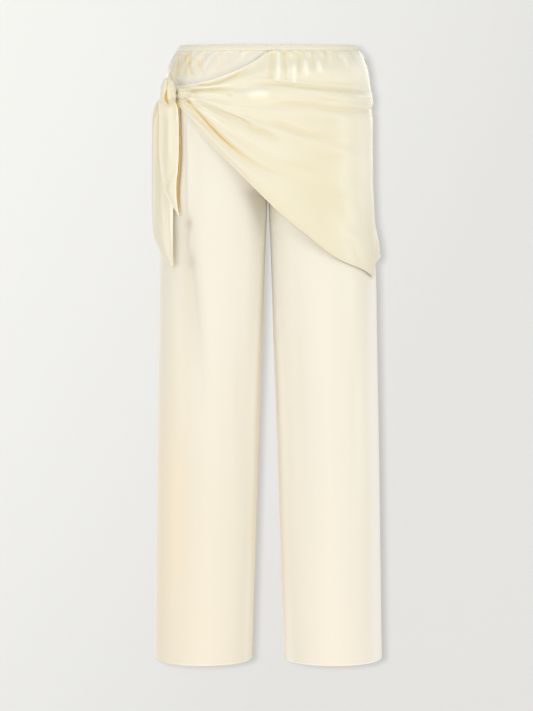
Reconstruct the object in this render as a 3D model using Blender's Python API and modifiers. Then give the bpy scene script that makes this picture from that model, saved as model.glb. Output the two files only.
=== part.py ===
"""Wide-leg satin trousers with an elastic waist and a wrap drawn round the hips to a half-bow.

The trousers are filled out and hollow, as on a wearer. The frame is +Z up with the waist's top
at the origin, the front faces -Y and +X is the wearer's left. Lengths here are in millimetres.
"""

import math
from collections import namedtuple

import bmesh
import bpy
import numpy as np

MM = 0.001

# Driving sizes
LENGTH = 1086.0
BAND_HEIGHT = 10.0
CROTCH_DEPTH = 250.0
WALL = 1.2
SEAM_GAP = 0.7
# Half of the gap between the wrap's halves at the side, as girth
SIDE_SEAM_GIRTH = 0.0016
# The elastic's reach outside and inside the hip outline, and the panels' start below it
BAND_OUT = 2.0
BAND_IN = 1.2
PANEL_DROP = 2.1
# The least that the wrap's outer face stands out from the panels
SEATED = 2.6

# The centre seams run in towards the crotch over this height
GROOVE_RISE = 110.0
# Power of the rounded outlines in plan, 2 being an ellipse
HIP_SQUARENESS = 2.6
LEG_SQUARENESS = 2.1
OUTLINE_POINTS = 80

# Gathers of the leg panels at the waist
GATHERS_A_QUARTER = 8
GATHER_DEPTH = 2.6
GATHER_END = 66.0
GATHER_UNEVENNESS = 0.25
GATHER_TURN = 17.0
GATHER_SEAM = 4.0
# Gathers of the wrap above its pouch fold, counted a place
WRAP_GATHERS = 1.6

# Half-widths at the wearer's right and left side, and half-depths at front and back, by height
Hip = namedtuple("Hip", "height right left front back")
HIPS = [
    Hip(0, 153, 153.5, 96, 100),
    Hip(-10, 159.5, 158, 100, 104),
    Hip(-22, 168.5, 163.5, 105, 110),
    Hip(-43, 179, 169, 111, 118),
    Hip(-60, 182, 171, 114, 123),
    Hip(-81, 184, 173, 116, 126),
    Hip(-114, 186, 177, 117, 128),
    Hip(-170, 187, 179.5, 117, 127),
    Hip(-236, 188.5, 181.5, 117, 124),
    Hip(-315, 190, 185.5, 117, 120),
    Hip(-377, 191, 190, 117, 118),
    Hip(-420, 191.5, 191.5, 117, 118),
]

# Each leg's outer and inner edge from the middle plane, and its half-depths, by height
Leg = namedtuple("Leg", "height right left inner front back")
LEGS = [
    Leg(-250, 188.7, 182, 0.15, 103, 108),
    Leg(-280, 189, 184, 1.3, 102, 107),
    Leg(-347, 190, 187.5, 4.3, 99, 104),
    Leg(-420, 191.5, 191, 6.8, 97, 102),
    Leg(-501, 192.5, 192.5, 9.3, 95, 100),
    Leg(-697, 196.5, 196.5, 16.3, 92, 95),
    Leg(-900, 199.5, 200, 22.6, 89, 91),
    Leg(-1086, 202.3, 203, 28.7, 87.5, 88.5),
]

# Soft troughs down the legs: panel, share of the way from side seam to inseam at the trough's
# top and bottom, its top and bottom height, depth and half-width
Crease = namedtuple("Crease", "panel start end top bottom depth reach")
CREASES = [
    Crease("right_leg_front", 0.30, 0.46, -240, -700, 5.0, 0.14),
    Crease("right_leg_front", 0.80, 0.74, -330, -800, 2.5, 0.12),
    Crease("left_leg_front", 0.34, 0.28, -420, -820, 2.2, 0.13),
    Crease("left_leg_front", 0.78, 0.70, -360, -900, 2.5, 0.12),
    Crease("right_leg_back", 0.40, 0.50, -330, -860, 4.5, 0.14),
    Crease("left_leg_back", 0.42, 0.52, -300, -800, 4.5, 0.14),
    Crease("left_leg_back", 0.80, 0.74, -360, -900, 2.5, 0.12),
]

# Places across the wrap, as girth: quarters of the way round from the left side seam, so 1 is
# the centre front and 2 the right side, and minus 1 the centre back and minus 2 the right side.
# The last four places are the left side front, the hem's corner, the notch past it and the side.
WRAP_FRONT_GIRTH = (1.63, 1.43, 1.20, 0.94, 0.75, 0.52, 0.31, 0.19, 0.15, 0.0)
WRAP_BACK_GIRTH = (-2.32, -2.14, -1.86, -1.36, -0.98, -0.64, -0.34, -0.20, -0.15, 0.0)

# Fold lines of the wrap from its top edge to its hem: heights at each place above, from knot to
# left side, and how far the cloth stands out from the hips at knot, thigh, middle and side
Fold = namedtuple("Fold", "name heights out_knot out_thigh out_middle out_side")
GATHERED_FOLDS = ("top_edge", "under_edge", "upper_roll")
WRAP_FOLDS = [
    Fold("top_edge", (-67, -64, -43, -10.3, -10.3, -10.3, -10.3, -10.3, -10.3, -10.3), 4.0, 4.5, 2.0, 2.0),
    Fold("under_edge", (-71, -70, -50, -22, -22, -22, -22, -22, -22, -22), 4.0, 2.4, 2.6, 2.4),
    Fold("upper_roll", (-73, -73, -60, -44, -44, -48, -50, -51, -52, -52), 4.4, 6.0, 5.5, 3.6),
    Fold("pouch_fold", (-76, -75, -66, -66, -71, -77, -80, -81, -81, -81), 4.2, 6.0, 3.6, 4.6),
    Fold("band_top", (-79, -78, -75, -72, -78, -83, -87, -87.5, -87.5, -87.5), 3.6, 2.8, 8.0, 9.6),
    Fold("band", (-82, -85, -87, -87, -91, -97, -101, -101, -101, -101), 4.4, 8.0, 8.5, 8.8),
    Fold("band_foot", (-84, -91, -102, -103, -103, -111, -113, -112, -112, -112), 4.0, 6.0, 3.4, 4.4),
    Fold("below_band", (-86, -97, -109, -118, -123, -130, -134, -134, -134, -134), 4.6, 7.5, 7.2, 7.6),
    Fold("high_fold", (-87, -101, -118, -134, -149, -162, -173, -175, -176, -176), 4.0, 6.0, 3.8, 6.4),
    Fold("between", (-88, -103, -123, -147, -166, -185, -199, -203, -204, -204), 4.6, 6.5, 6.6, 5.6),
    Fold("low_fold", (-89, -105, -128, -161, -185, -212, -231, -237, -238, -239), 3.8, 3.0, 5.2, 4.6),
    Fold("belly", (-90, -116, -154, -192, -216, -243, -262, -270, -271, -272), 4.8, 8.0, 7.0, 4.2),
    Fold("deep_fold", (-92, -133, -185, -220, -240, -268, -290, -300, -300, -300), 3.0, 2.4, 3.6, 3.2),
    Fold("hem_roll", (-93, -147, -205, -253, -286, -323, -345, -356, -346, -338), 4.6, 7.0, 6.0, 3.2),
    Fold("hem", (-94, -161, -219, -284, -324, -369, -391, -405, -384, -368), 4.0, 4.5, 4.2, 2.6),
]
# The places where the four stand-outs and the mean of the last two hold, in their order
OUT_PLACES = (0, 1.5, 3.5, 7, 9)
# Steps of the mesh across the wrap: from place, to place, steps
WRAP_STEPS = ((0, 3, 16), (3, 7, 25), (7, 9, 6))
# The wrap is sewn into the waistband from this place to the side
SEWN_PLACE, SEWN_FULL, SIDE_FULL, SIDE_PLACE = 3.0, 3.4, 8.0, 9.0
# The back half's hem, and how much of the front half's fullness it has away from the side
BACK_HEM = (-94, -125, -172, -226, -270, -315, -349, -364, -368, -368)
BACK_FULLNESS = 0.55
BACK_FULL_FROM = 6.0

# The hem's ripple at the left side: a flare on the side seam and a hollow in front of it
Ripple = namedtuple("Ripple", "girth reach out top bottom")
RIPPLES = [
    Ripple(0.0, 0.085, 8.6, -300, -366),
    Ripple(0.15, 0.03, -3.0, -330, -384),
    Ripple(-0.22, 0.06, -2.0, -300, -366),
    Ripple(-0.42, 0.10, 4.0, -280, -360),
]

# The knot: centre, half-sizes, turn to lie along the hip, and the folds round it
KNOT_AT = (-151.2, -98.5, -87.5)
KNOT_SIZE = (10.5, 8.0, 14.0)
KNOT_TURN = math.radians(-35)
KNOT_FOLDS = 4
KNOT_FOLD_DEPTH = 0.06
KNOT_SEGMENTS, KNOT_RINGS = 20, 12

# The loop's eye and outline, seen from the front
LOOP_EYE_AT = (-172.0, -109.0, -92.0)
LOOP_EYE_SIZE = (5.0, 13.5)
LOOP_AT = (-173.5, -90.0, -82.5)
LOOP_SIZE = (12.8, 24.5)
LOOP_LEAN = math.radians(6)
LOOP_NARROWING = 0.22
LOOP_SWELL = 0.62
LOOP_STEPS = 24
LOOP_ROWS = (0, 0.12, 0.3, 0.55, 0.8, 1.0)

# Hanging ends: height, then across and depth of the outer (o) and inner (i) edge, and the bulge
End = namedtuple("End", "height ox oy ix iy bulge")
FRONT_TAIL = [
    End(-94, -171, -86.6, -161.5, -89.0, 0.3),
    End(-104, -181, -80.8, -159.5, -89.2, 0.5),
    End(-116, -187, -76, -156.5, -91, 2),
    End(-134, -188.5, -74, -154, -93, 3),
    End(-182, -189, -72, -153, -92, 4),
    End(-216, -186, -74, -155, -91, 3),
    End(-253, -179, -77, -156, -90, 2),
    End(-274, -168, -83, -155.5, -89, 1),
    End(-294, -155.5, -88, -153, -89.5, 0),
]
BACK_TAIL = [
    End(-92, -172, -83.5, -161.5, -87.2, 0.3),
    End(-102, -187, -68, -161, -87, 0.5),
    End(-112, -195, -57, -161.5, -86, 1.5),
    End(-128, -200, -48, -162, -82.5, 2),
    End(-182, -203, -44, -162, -81, 3),
    End(-269, -203, -44, -164, -81, 4),
    End(-325, -201, -46, -165, -81, 3),
    End(-353, -191, -56, -165, -81, 2),
    End(-371, -180, -67, -165, -80.5, 1),
    End(-383, -168, -78, -165, -80.5, 0),
]
# Heights of the mesh rows of the ends, the steps across and the double bow of their section
FRONT_TAIL_ROWS = (-94, -100, -107, -116, -126, -138, -156, -182, -216, -235, -253, -266, -278, -288, -294)
BACK_TAIL_ROWS = (-92, -99, -106, -115, -128, -155, -182, -225, -269, -300, -325, -341, -353, -363, -373, -383)
TAIL_STEPS = 8
TAIL_DOUBLE_BOW = 0.35

# Mesh rows of the leg panels: at the gathers, at the hips, round the crotch curve in degrees
GATHER_ROWS = (-20, -32, -46)
HIP_ROWS = (-66, -100, -140)
CURVE_ROWS = (22, 42, 60, 76, 90)
LEG_ROWS = 13
BAND_STEPS = 96

SATIN_ROUGHNESS = 0.34
ELASTIC_ROUGHNESS = 0.6
SATIN = (0.90, 0.83, 0.62, 1.0)
WRAP_SATIN = (0.89, 0.81, 0.58, 1.0)
ELASTIC = (0.86, 0.77, 0.52, 1.0)


def column(rows, name):
    """One named column of a table, as an array."""
    return np.array([getattr(row, name) for row in rows], float)


def smooth(at, places, values):
    """Values between a table's rows, on a curve that never overshoots them."""
    places, values = np.asarray(places, float), np.asarray(values, float)
    if places[0] > places[-1]:
        places, values = places[::-1], values[::-1]
    step = np.diff(places)
    rise = np.diff(values) / step
    slope = np.zeros(len(places))
    same = rise[1:] * rise[:-1] > 0
    slope[1:-1][same] = 2 * rise[1:][same] * rise[:-1][same] / (rise[1:][same] + rise[:-1][same])
    slope[0], slope[-1] = rise[0], rise[-1]
    at = np.clip(at, places[0], places[-1])
    i = np.clip(np.searchsorted(places, at) - 1, 0, len(step) - 1)
    t = (at - places[i]) / step[i]
    return (
        (1 + 2 * t) * (1 - t) ** 2 * values[i]
        + t * (1 - t) ** 2 * step[i] * slope[i]
        + t * t * (3 - 2 * t) * values[i + 1]
        + t * t * (t - 1) * step[i] * slope[i + 1]
    )


def fade(value, low, high):
    """0 at low and 1 at high, with soft ends."""
    t = np.clip((value - low) / (high - low), 0, 1)
    return t * t * (3 - 2 * t)


def table_value(rows, name, height):
    return float(smooth(height, column(rows, "height"), column(rows, name)))


def arc(half_width, half_depth, squareness):
    """A quarter of a rounded outline in plan, from the side to the front."""
    turn = np.linspace(0, math.pi / 2, OUTLINE_POINTS)
    power = 2 / squareness
    return np.column_stack([half_width * np.cos(turn) ** power, half_depth * np.sin(turn) ** power])


def along(path, shares):
    """Points at the given shares of a path's length."""
    length = np.concatenate([[0], np.cumsum(np.hypot(*np.diff(path, axis=0).T))])
    return np.column_stack([np.interp(shares, length / length[-1], path[:, i]) for i in (0, 1)])


def hip_quarter(side, face, height):
    """Plan outline of a quarter of the hips. side is 1 at the wearer's left, face 1 at the back."""
    width = table_value(HIPS, "left" if side > 0 else "right", height)
    depth = table_value(HIPS, "back" if face > 0 else "front", height)
    return arc(width, depth, HIP_SQUARENESS) * (side, face)


def hip_point(girth, height, out=0.0):
    """A point of the hips at a girth and height, moved out from the cloth."""
    quarter, share = divmod(girth % 4, 1)
    side = 1 if quarter in (0, 3) else -1
    face = -1 if quarter < 2 else 1
    share = share if quarter in (0, 2) else 1 - share
    path = hip_quarter(side, face, height)
    near = along(path, [max(share - 0.01, 0), share, min(share + 0.01, 1)])
    tangent = near[2] - near[0]
    normal = np.array([tangent[1], -tangent[0]]) * side * face
    x, y = near[1] + normal / np.linalg.norm(normal) * out
    return x, y, height


def groove(height):
    """How far the centre seam has run in towards the crotch: 0 at the groove's top, 1 at the crotch."""
    return float(np.clip((GROOVE_RISE - CROTCH_DEPTH - height) / GROOVE_RISE, 0, 1))


def leg_quarter(side, face, height, count):
    """A leg panel's points in plan, from its side seam to its centre seam or inseam."""
    sunk = groove(height)
    edge, face_name = "left" if side > 0 else "right", "back" if face > 0 else "front"
    low = min(height, -CROTCH_DEPTH)
    blend = float(fade(sunk, 0, 1))
    hip_width, leg_width = table_value(HIPS, edge, height), table_value(LEGS, edge, low)
    hip_depth, leg_depth = table_value(HIPS, face_name, height), table_value(LEGS, face_name, low)
    width = hip_width + (leg_width - hip_width) * blend
    depth = hip_depth + (leg_depth - hip_depth) * blend
    inner = table_value(LEGS, "inner", low)
    middle = (inner + (width - inner) / 2) * blend
    square = HIP_SQUARENESS + (LEG_SQUARENESS - HIP_SQUARENESS) * blend
    outer_arc = arc(width - middle, depth, square) + (middle, 0)
    outer_share = 1 - blend / 2
    shares = np.linspace(0, 1, count + 1)
    points = along(outer_arc, np.clip(shares / outer_share, 0, 1))
    if sunk > 0:
        seam_depth = depth * math.sqrt(1 - sunk * sunk)
        inner_arc = arc(middle - inner, depth - seam_depth, 2)[::-1] * (-1, 1) + (middle, seam_depth)
        past = shares > outer_share
        points[past] = along(inner_arc, (shares[past] - outer_share) / (1 - outer_share))
    return shares, np.maximum(points, SEAM_GAP / 2) * (side, face)


def gather(share, height):
    """Depth of the waist's gathers: even hollows that fade down the cloth and at the seams."""
    hollow = (1 - math.cos(2 * math.pi * GATHERS_A_QUARTER * share)) / 2
    uneven = 1 - GATHER_UNEVENNESS * (1 - math.sin(GATHER_TURN * share))
    fall = float(fade(height, -GATHER_END * uneven, -BAND_HEIGHT - GATHER_SEAM))
    return GATHER_DEPTH * uneven * hollow * fall


def crease(panel, share, height):
    """Depth of the soft troughs of a leg panel at a place on it."""
    depth = 0.0
    for row in CREASES:
        if row.panel != panel or not row.bottom < height < row.top:
            continue
        down = (row.top - height) / (row.top - row.bottom)
        centre = row.start + (row.end - row.start) * down
        across = (share - centre) / row.reach
        depth += row.depth * math.sin(math.pi * down) ** 2 * math.exp(-across * across)
    return depth


def panel_row(panel, side, face, height, count):
    """One row of a leg panel's points, evenly spaced from side seam to centre seam or inseam."""
    shares, points = leg_quarter(side, face, height, count)
    tangent = np.gradient(points, axis=0)
    inward = np.column_stack([-tangent[:, 1], tangent[:, 0]]) * side * face
    inward /= np.linalg.norm(inward, axis=1)[:, None]
    ends = np.minimum(shares, 1 - shares) * count
    depth = np.array([gather(s, height) + crease(panel, s, height) for s in shares]) * (ends > 0.5)
    points += inward * depth[:, None]
    return np.column_stack([points, np.full(count + 1, height)])


def new_material(name, colour, roughness):
    material = bpy.data.materials.new(name)
    material.use_nodes = True
    shader = material.node_tree.nodes["Principled BSDF"]
    shader.inputs["Base Color"].default_value = colour
    shader.inputs["Roughness"].default_value = roughness
    shader.inputs["Metallic"].default_value = 0.0
    return material


def new_object(name, mesh, material, collection):
    part = bpy.data.objects.new(name, mesh)
    mesh.materials.append(material)
    mesh.shade_smooth()
    collection.objects.link(part)
    return part


def strip(above, below):
    """Faces between two rows of points. The lower row has as many steps as the upper, or half."""
    steps, half = len(above) - 1, len(below) - 1
    if steps == half:
        return [(above[i], above[i + 1], below[i + 1], below[i]) for i in range(steps)]
    faces = []
    for i in range(half):
        a, b, c = above[2 * i : 2 * i + 3]
        faces += [(a, b, below[i]), (b, below[i + 1], below[i]), (b, c, below[i + 1])]
    return faces


def cloth(name, rows, material, collection, flip, closed=False, wall=WALL):
    """A cloth piece: a sheet lofted through its rows, thickened inwards. Rows run top to bottom."""
    points = [tuple(float(v) * MM for v in p) for row in rows for p in row]
    starts = np.concatenate([[0], np.cumsum([len(row) for row in rows])])
    numbers = [list(range(starts[i], starts[i + 1])) for i in range(len(rows))]
    if closed:
        numbers = [line + line[:1] for line in numbers]
    faces = []
    for above, below in zip(numbers, numbers[1:]):
        faces += strip(above, below)
    mesh = bpy.data.meshes.new(name)
    mesh.from_pydata(points, [], [face[::-1] if flip else face for face in faces])
    part = new_object(name, mesh, material, collection)
    solidify = part.modifiers.new("wall", "SOLIDIFY")
    solidify.thickness = wall * MM
    solidify.offset = -1
    return part


def leg_panel(name, side, face, material, collection):
    """One panel, waist to hem: fine rows at the gathers, closer rows at the crotch curve."""
    gathered = (-BAND_HEIGHT - PANEL_DROP, *GATHER_ROWS)
    curve = [GROOVE_RISE - CROTCH_DEPTH - GROOVE_RISE * math.sin(math.radians(a)) for a in CURVE_ROWS]
    legs = np.linspace(-CROTCH_DEPTH, -LENGTH, LEG_ROWS + 1)[1:]
    fine, coarse = 4 * GATHERS_A_QUARTER, 2 * GATHERS_A_QUARTER
    rows = [panel_row(name, side, face, height, fine) for height in gathered]
    rows += [panel_row(name, side, face, height, coarse) for height in (*HIP_ROWS, *curve, *legs)]
    return cloth(name, rows, material, collection, flip=side * face > 0)


def waistband(material, collection):
    """The elastic's closed ring, thick enough to hold both layers of cloth."""
    heights = (0, -BAND_HEIGHT / 2, -BAND_HEIGHT)
    rows = [[hip_point(-4 * i / BAND_STEPS, height, BAND_OUT) for i in range(BAND_STEPS)] for height in heights]
    return cloth("waistband", rows, material, collection, flip=True, closed=True, wall=BAND_OUT + BAND_IN)


def wrap_gather(place, height, fold_height):
    """Gathers of the wrap under the waistband, standing out between the seam and the pouch fold."""
    wave = (1 - math.cos(2 * math.pi * WRAP_GATHERS * place)) / 2
    middle = math.sin(math.pi * float(np.clip((height + BAND_HEIGHT) / (fold_height + BAND_HEIGHT), 0, 1)))
    return GATHER_DEPTH * wave * middle


def ripple(girth, height):
    """How far the ripples of the hem move the wrap out."""
    moved = 0.0
    for row in RIPPLES:
        across = (girth - row.girth) / row.reach
        moved += row.out * math.exp(-across * across) * float(1 - fade(height, row.bottom, row.top))
    return moved


def wrap(name, girths, hem, fullness, material, collection):
    """A half of the wrap, lofted through its fold lines and gathered where it meets the waistband."""
    top, full_hem = np.array(WRAP_FOLDS[0].heights), np.array(WRAP_FOLDS[-1].heights)
    reach = (np.array(hem) - top) / (full_hem - top)
    places = np.arange(len(girths))
    spans = [np.linspace(start, end, steps, endpoint=False) for start, end, steps in WRAP_STEPS]
    columns = np.concatenate([*spans, [SIDE_PLACE]])
    girth = smooth(columns, places, girths)
    girth[-1] = math.copysign(SIDE_SEAM_GIRTH, girths[0])
    gathered = fade(columns, SEWN_PLACE, SEWN_FULL) * (1 - fade(columns, SIDE_FULL, SIDE_PLACE))
    drops = {fold.name: np.array(fold.heights) - top for fold in WRAP_FOLDS}
    lines = {key: smooth(columns, places, top + drop * reach) for key, drop in drops.items()}
    full = fullness + (1 - fullness) * fade(columns, BACK_FULL_FROM, SIDE_PLACE)
    rows = []
    for fold in WRAP_FOLDS:
        near_side = (fold.out_middle + fold.out_side) / 2
        outs = (fold.out_knot, fold.out_thigh, fold.out_middle, near_side, fold.out_side)
        out = SEATED + (smooth(columns, OUT_PLACES, outs) - SEATED) * full
        row = []
        for i, height in enumerate(lines[fold.name]):
            stand = out[i] + ripple(girth[i], height)
            if fold.name in GATHERED_FOLDS:
                stand += gathered[i] * wrap_gather(columns[i], height, lines["pouch_fold"][i])
            row.append(hip_point(girth[i], height, stand))
        rows.append(row[::-1])
    return cloth(name, rows, material, collection, flip=girths[0] < 0)


def knot(material, collection):
    """The half-bow's knot: a rounded lump with folds running round it."""
    mesh = bpy.data.meshes.new("knot")
    shape = bmesh.new()
    bmesh.ops.create_uvsphere(shape, u_segments=KNOT_SEGMENTS, v_segments=KNOT_RINGS, radius=1)
    for vertex in shape.verts:
        x, y, z = vertex.co
        ridge = 1 + KNOT_FOLD_DEPTH * math.cos(KNOT_FOLDS * math.atan2(z, x)) * (1 - abs(y))
        local = [v * size * ridge for v, size in zip((x, y, z), KNOT_SIZE)]
        across = local[0] * math.cos(KNOT_TURN) - local[1] * math.sin(KNOT_TURN)
        deep = local[0] * math.sin(KNOT_TURN) + local[1] * math.cos(KNOT_TURN)
        vertex.co = [(p + q) * MM for p, q in zip(KNOT_AT, (across, deep, local[2]))]
    shape.to_mesh(mesh)
    shape.free()
    return new_object("knot", mesh, material, collection)


def loop_ring(turn, share):
    """A point of the loop, from its front rim round the eye (0) to its rear rim (1)."""
    swell = math.sin(share * math.pi * LOOP_SWELL)
    lean = LOOP_LEAN * math.sin(turn)
    across = math.cos(turn + lean)
    up = math.sin(turn)
    narrow = 1 - LOOP_NARROWING * max(-up, 0)
    rim = [
        LOOP_EYE_AT[0] + LOOP_EYE_SIZE[0] * across,
        LOOP_EYE_AT[1],
        LOOP_EYE_AT[2] + LOOP_EYE_SIZE[1] * up,
    ]
    body = [
        LOOP_AT[0] + LOOP_SIZE[0] * across * narrow,
        LOOP_AT[1],
        LOOP_AT[2] + LOOP_SIZE[1] * up,
    ]
    return [
        rim[0] + (body[0] - rim[0]) * swell,
        rim[1] + (body[1] - rim[1]) * share,
        rim[2] + (body[2] - rim[2]) * swell,
    ]


def tie_loop(material, collection):
    """The loop: a band of cloth curled round an open eye."""
    turns = [2 * math.pi * i / LOOP_STEPS for i in range(LOOP_STEPS)]
    rows = [[loop_ring(turn, share) for turn in turns] for share in LOOP_ROWS]
    return cloth("tie_loop", rows, material, collection, flip=True, closed=True)


def hanging_end(name, table, heights, material, collection):
    """A hanging end: a strip between its two edges, bowed out across its width."""
    rows = []
    for height in heights:
        ox, oy, ix, iy, bulge = (table_value(table, key, height) for key in End._fields[1:])
        run = np.array([ix - ox, iy - oy])
        out = np.array([run[1], -run[0]]) / np.linalg.norm(run)
        row = []
        for share in np.linspace(0, 1, TAIL_STEPS + 1):
            bow = math.sin(math.pi * share) - TAIL_DOUBLE_BOW * math.sin(3 * math.pi * share)
            x, y = np.array([ox, oy]) + run * share + out * bulge * bow
            row.append((x, y, height))
        rows.append(row)
    return cloth(name, rows, material, collection, flip=False)


def main():
    for old in list(bpy.data.objects):
        bpy.data.objects.remove(old)
    collection = bpy.data.collections.new("wide_leg_trousers")
    bpy.context.scene.collection.children.link(collection)

    def satin(name, colour=WRAP_SATIN):
        return new_material(name + "_satin", colour, SATIN_ROUGHNESS)

    panels = {
        "right_leg_front": (-1, -1),
        "right_leg_back": (-1, 1),
        "left_leg_front": (1, -1),
        "left_leg_back": (1, 1),
    }
    for name, (side, face) in panels.items():
        leg_panel(name, side, face, satin(name, SATIN), collection)
    waistband(new_material("waistband_elastic", ELASTIC, ELASTIC_ROUGHNESS), collection)
    front_hem = WRAP_FOLDS[-1].heights
    wrap("wrap_front", WRAP_FRONT_GIRTH, front_hem, 1.0, satin("wrap_front"), collection)
    wrap("wrap_back", WRAP_BACK_GIRTH, BACK_HEM, BACK_FULLNESS, satin("wrap_back"), collection)
    knot(satin("knot"), collection)
    tie_loop(satin("tie_loop"), collection)
    hanging_end("tie_tail_front", FRONT_TAIL, FRONT_TAIL_ROWS, satin("tie_tail_front"), collection)
    hanging_end("tie_tail_back", BACK_TAIL, BACK_TAIL_ROWS, satin("tie_tail_back"), collection)


main()
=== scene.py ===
"""Looks of wide-leg satin trousers with an elastic waist and a wrap tied in a half-bow at the hip.

Cloth is modelled as fine sheets on the forms of the CAD part, in millimetres: +Z up, the waist's
top at the origin, the front towards -Y and the wearer's left towards +X. A sheet is a grid of
points. Its tone paints light and shade into the satin's colour: -1 is a painted highlight on a
rolled edge, 0 the open cloth and 1 painted golden shade in a tight fold. Its dim is painted shade,
1 where the satin is painted darkest.
"""

import math
from collections import namedtuple

import bpy
import numpy as np
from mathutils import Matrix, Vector


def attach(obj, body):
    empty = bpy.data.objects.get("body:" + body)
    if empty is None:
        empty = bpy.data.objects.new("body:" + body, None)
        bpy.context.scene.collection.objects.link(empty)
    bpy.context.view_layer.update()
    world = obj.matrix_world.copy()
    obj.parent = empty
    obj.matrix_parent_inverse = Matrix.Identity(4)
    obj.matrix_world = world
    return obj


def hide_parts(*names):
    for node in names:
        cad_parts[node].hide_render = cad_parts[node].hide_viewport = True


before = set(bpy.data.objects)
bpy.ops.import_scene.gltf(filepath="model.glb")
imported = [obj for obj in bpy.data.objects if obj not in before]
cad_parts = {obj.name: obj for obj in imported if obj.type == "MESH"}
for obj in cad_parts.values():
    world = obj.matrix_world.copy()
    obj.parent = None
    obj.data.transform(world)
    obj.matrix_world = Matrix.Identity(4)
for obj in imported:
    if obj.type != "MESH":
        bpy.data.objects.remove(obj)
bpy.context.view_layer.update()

MM = 0.001
LENGTH = 1086.0
BAND_HEIGHT = 10.0
CROTCH_DEPTH = 250.0

# The height over which the centre seam runs in to the crotch
GROOVE_RISE = 110.0

# Squareness of the outlines in plan, where 2 is an ellipse. The legs' inner sides are squarer near
# the crotch.
HIP_SQUARENESS = 2.6
LEG_SQUARENESS = 2.15
CROTCH_SQUARENESS = 3.0
CROTCH_SQUARE_DOWN_TO = -640.0

# How far cloth stands out from the hips: the wrap where it is seated and at the least, and the band
SEATED = 2.6
LEAST_STAND = 1.5
BAND_OUT = 2.0

# The drop from the band to the leg panels, the opening of a seam, and the thickness of a sheet
PANEL_DROP = 0.6
SEAM_GAP = 0.16
SHELL = 0.7

# The grid of the hips' outline: its rows are this far apart, from the waist down
HIP_STEP, HIP_ROWS = 3.0, 141

# A quarter of the way round the hips, at the waist seam and lower down
WAIST_QUARTER, HIP_QUARTER = 240.0, 245.0

# Half-widths at the wearer's right and left side, and half-depths at front and back, by height
Hip = namedtuple("Hip", "height right left front back")
HIPS = [
    Hip(0, 153, 153.5, 96, 100),
    Hip(-10, 159.5, 158, 100, 104),
    Hip(-22, 168.5, 163.5, 105, 110),
    Hip(-43, 179, 169, 111, 118),
    Hip(-60, 182, 171, 114, 123),
    Hip(-81, 184, 173, 116, 126),
    Hip(-114, 186, 177, 117, 128),
    Hip(-170, 187, 179.5, 117, 127),
    Hip(-236, 188.5, 181.5, 117, 124),
    Hip(-315, 190, 185.5, 117, 120),
    Hip(-377, 191, 190, 117, 118),
    Hip(-420, 191.5, 191.5, 117, 118),
]
Leg = namedtuple("Leg", "height right left inner front back")
LEGS = [
    Leg(-250, 188.7, 182, 0.15, 103, 108),
    Leg(-280, 189, 184, 1.3, 102, 107),
    Leg(-347, 190, 187.5, 4.3, 99, 104),
    Leg(-420, 191.5, 191, 6.8, 97, 102),
    Leg(-501, 192.5, 192.5, 9.3, 95, 100),
    Leg(-697, 196.5, 196.5, 16.3, 92, 95),
    Leg(-900, 199.5, 200, 22.6, 89, 91),
    Leg(-1086, 202.3, 203, 28.7, 87.5, 88.5),
]

# Soft troughs down the legs, by share of the way from side seam to inseam
Crease = namedtuple("Crease", "panel start end top bottom depth reach")
CREASES = [
    Crease("right_leg_front", 0.30, 0.46, -240, -700, 5.0, 0.14),
    Crease("right_leg_front", 0.80, 0.74, -330, -800, 2.5, 0.12),
    Crease("left_leg_front", 0.34, 0.28, -420, -820, 2.2, 0.13),
    Crease("left_leg_front", 0.78, 0.70, -360, -900, 2.5, 0.12),
    Crease("right_leg_back", 0.40, 0.50, -330, -860, 4.5, 0.14),
    Crease("left_leg_back", 0.42, 0.52, -300, -800, 4.5, 0.14),
    Crease("left_leg_back", 0.80, 0.74, -360, -900, 2.5, 0.12),
]

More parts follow.
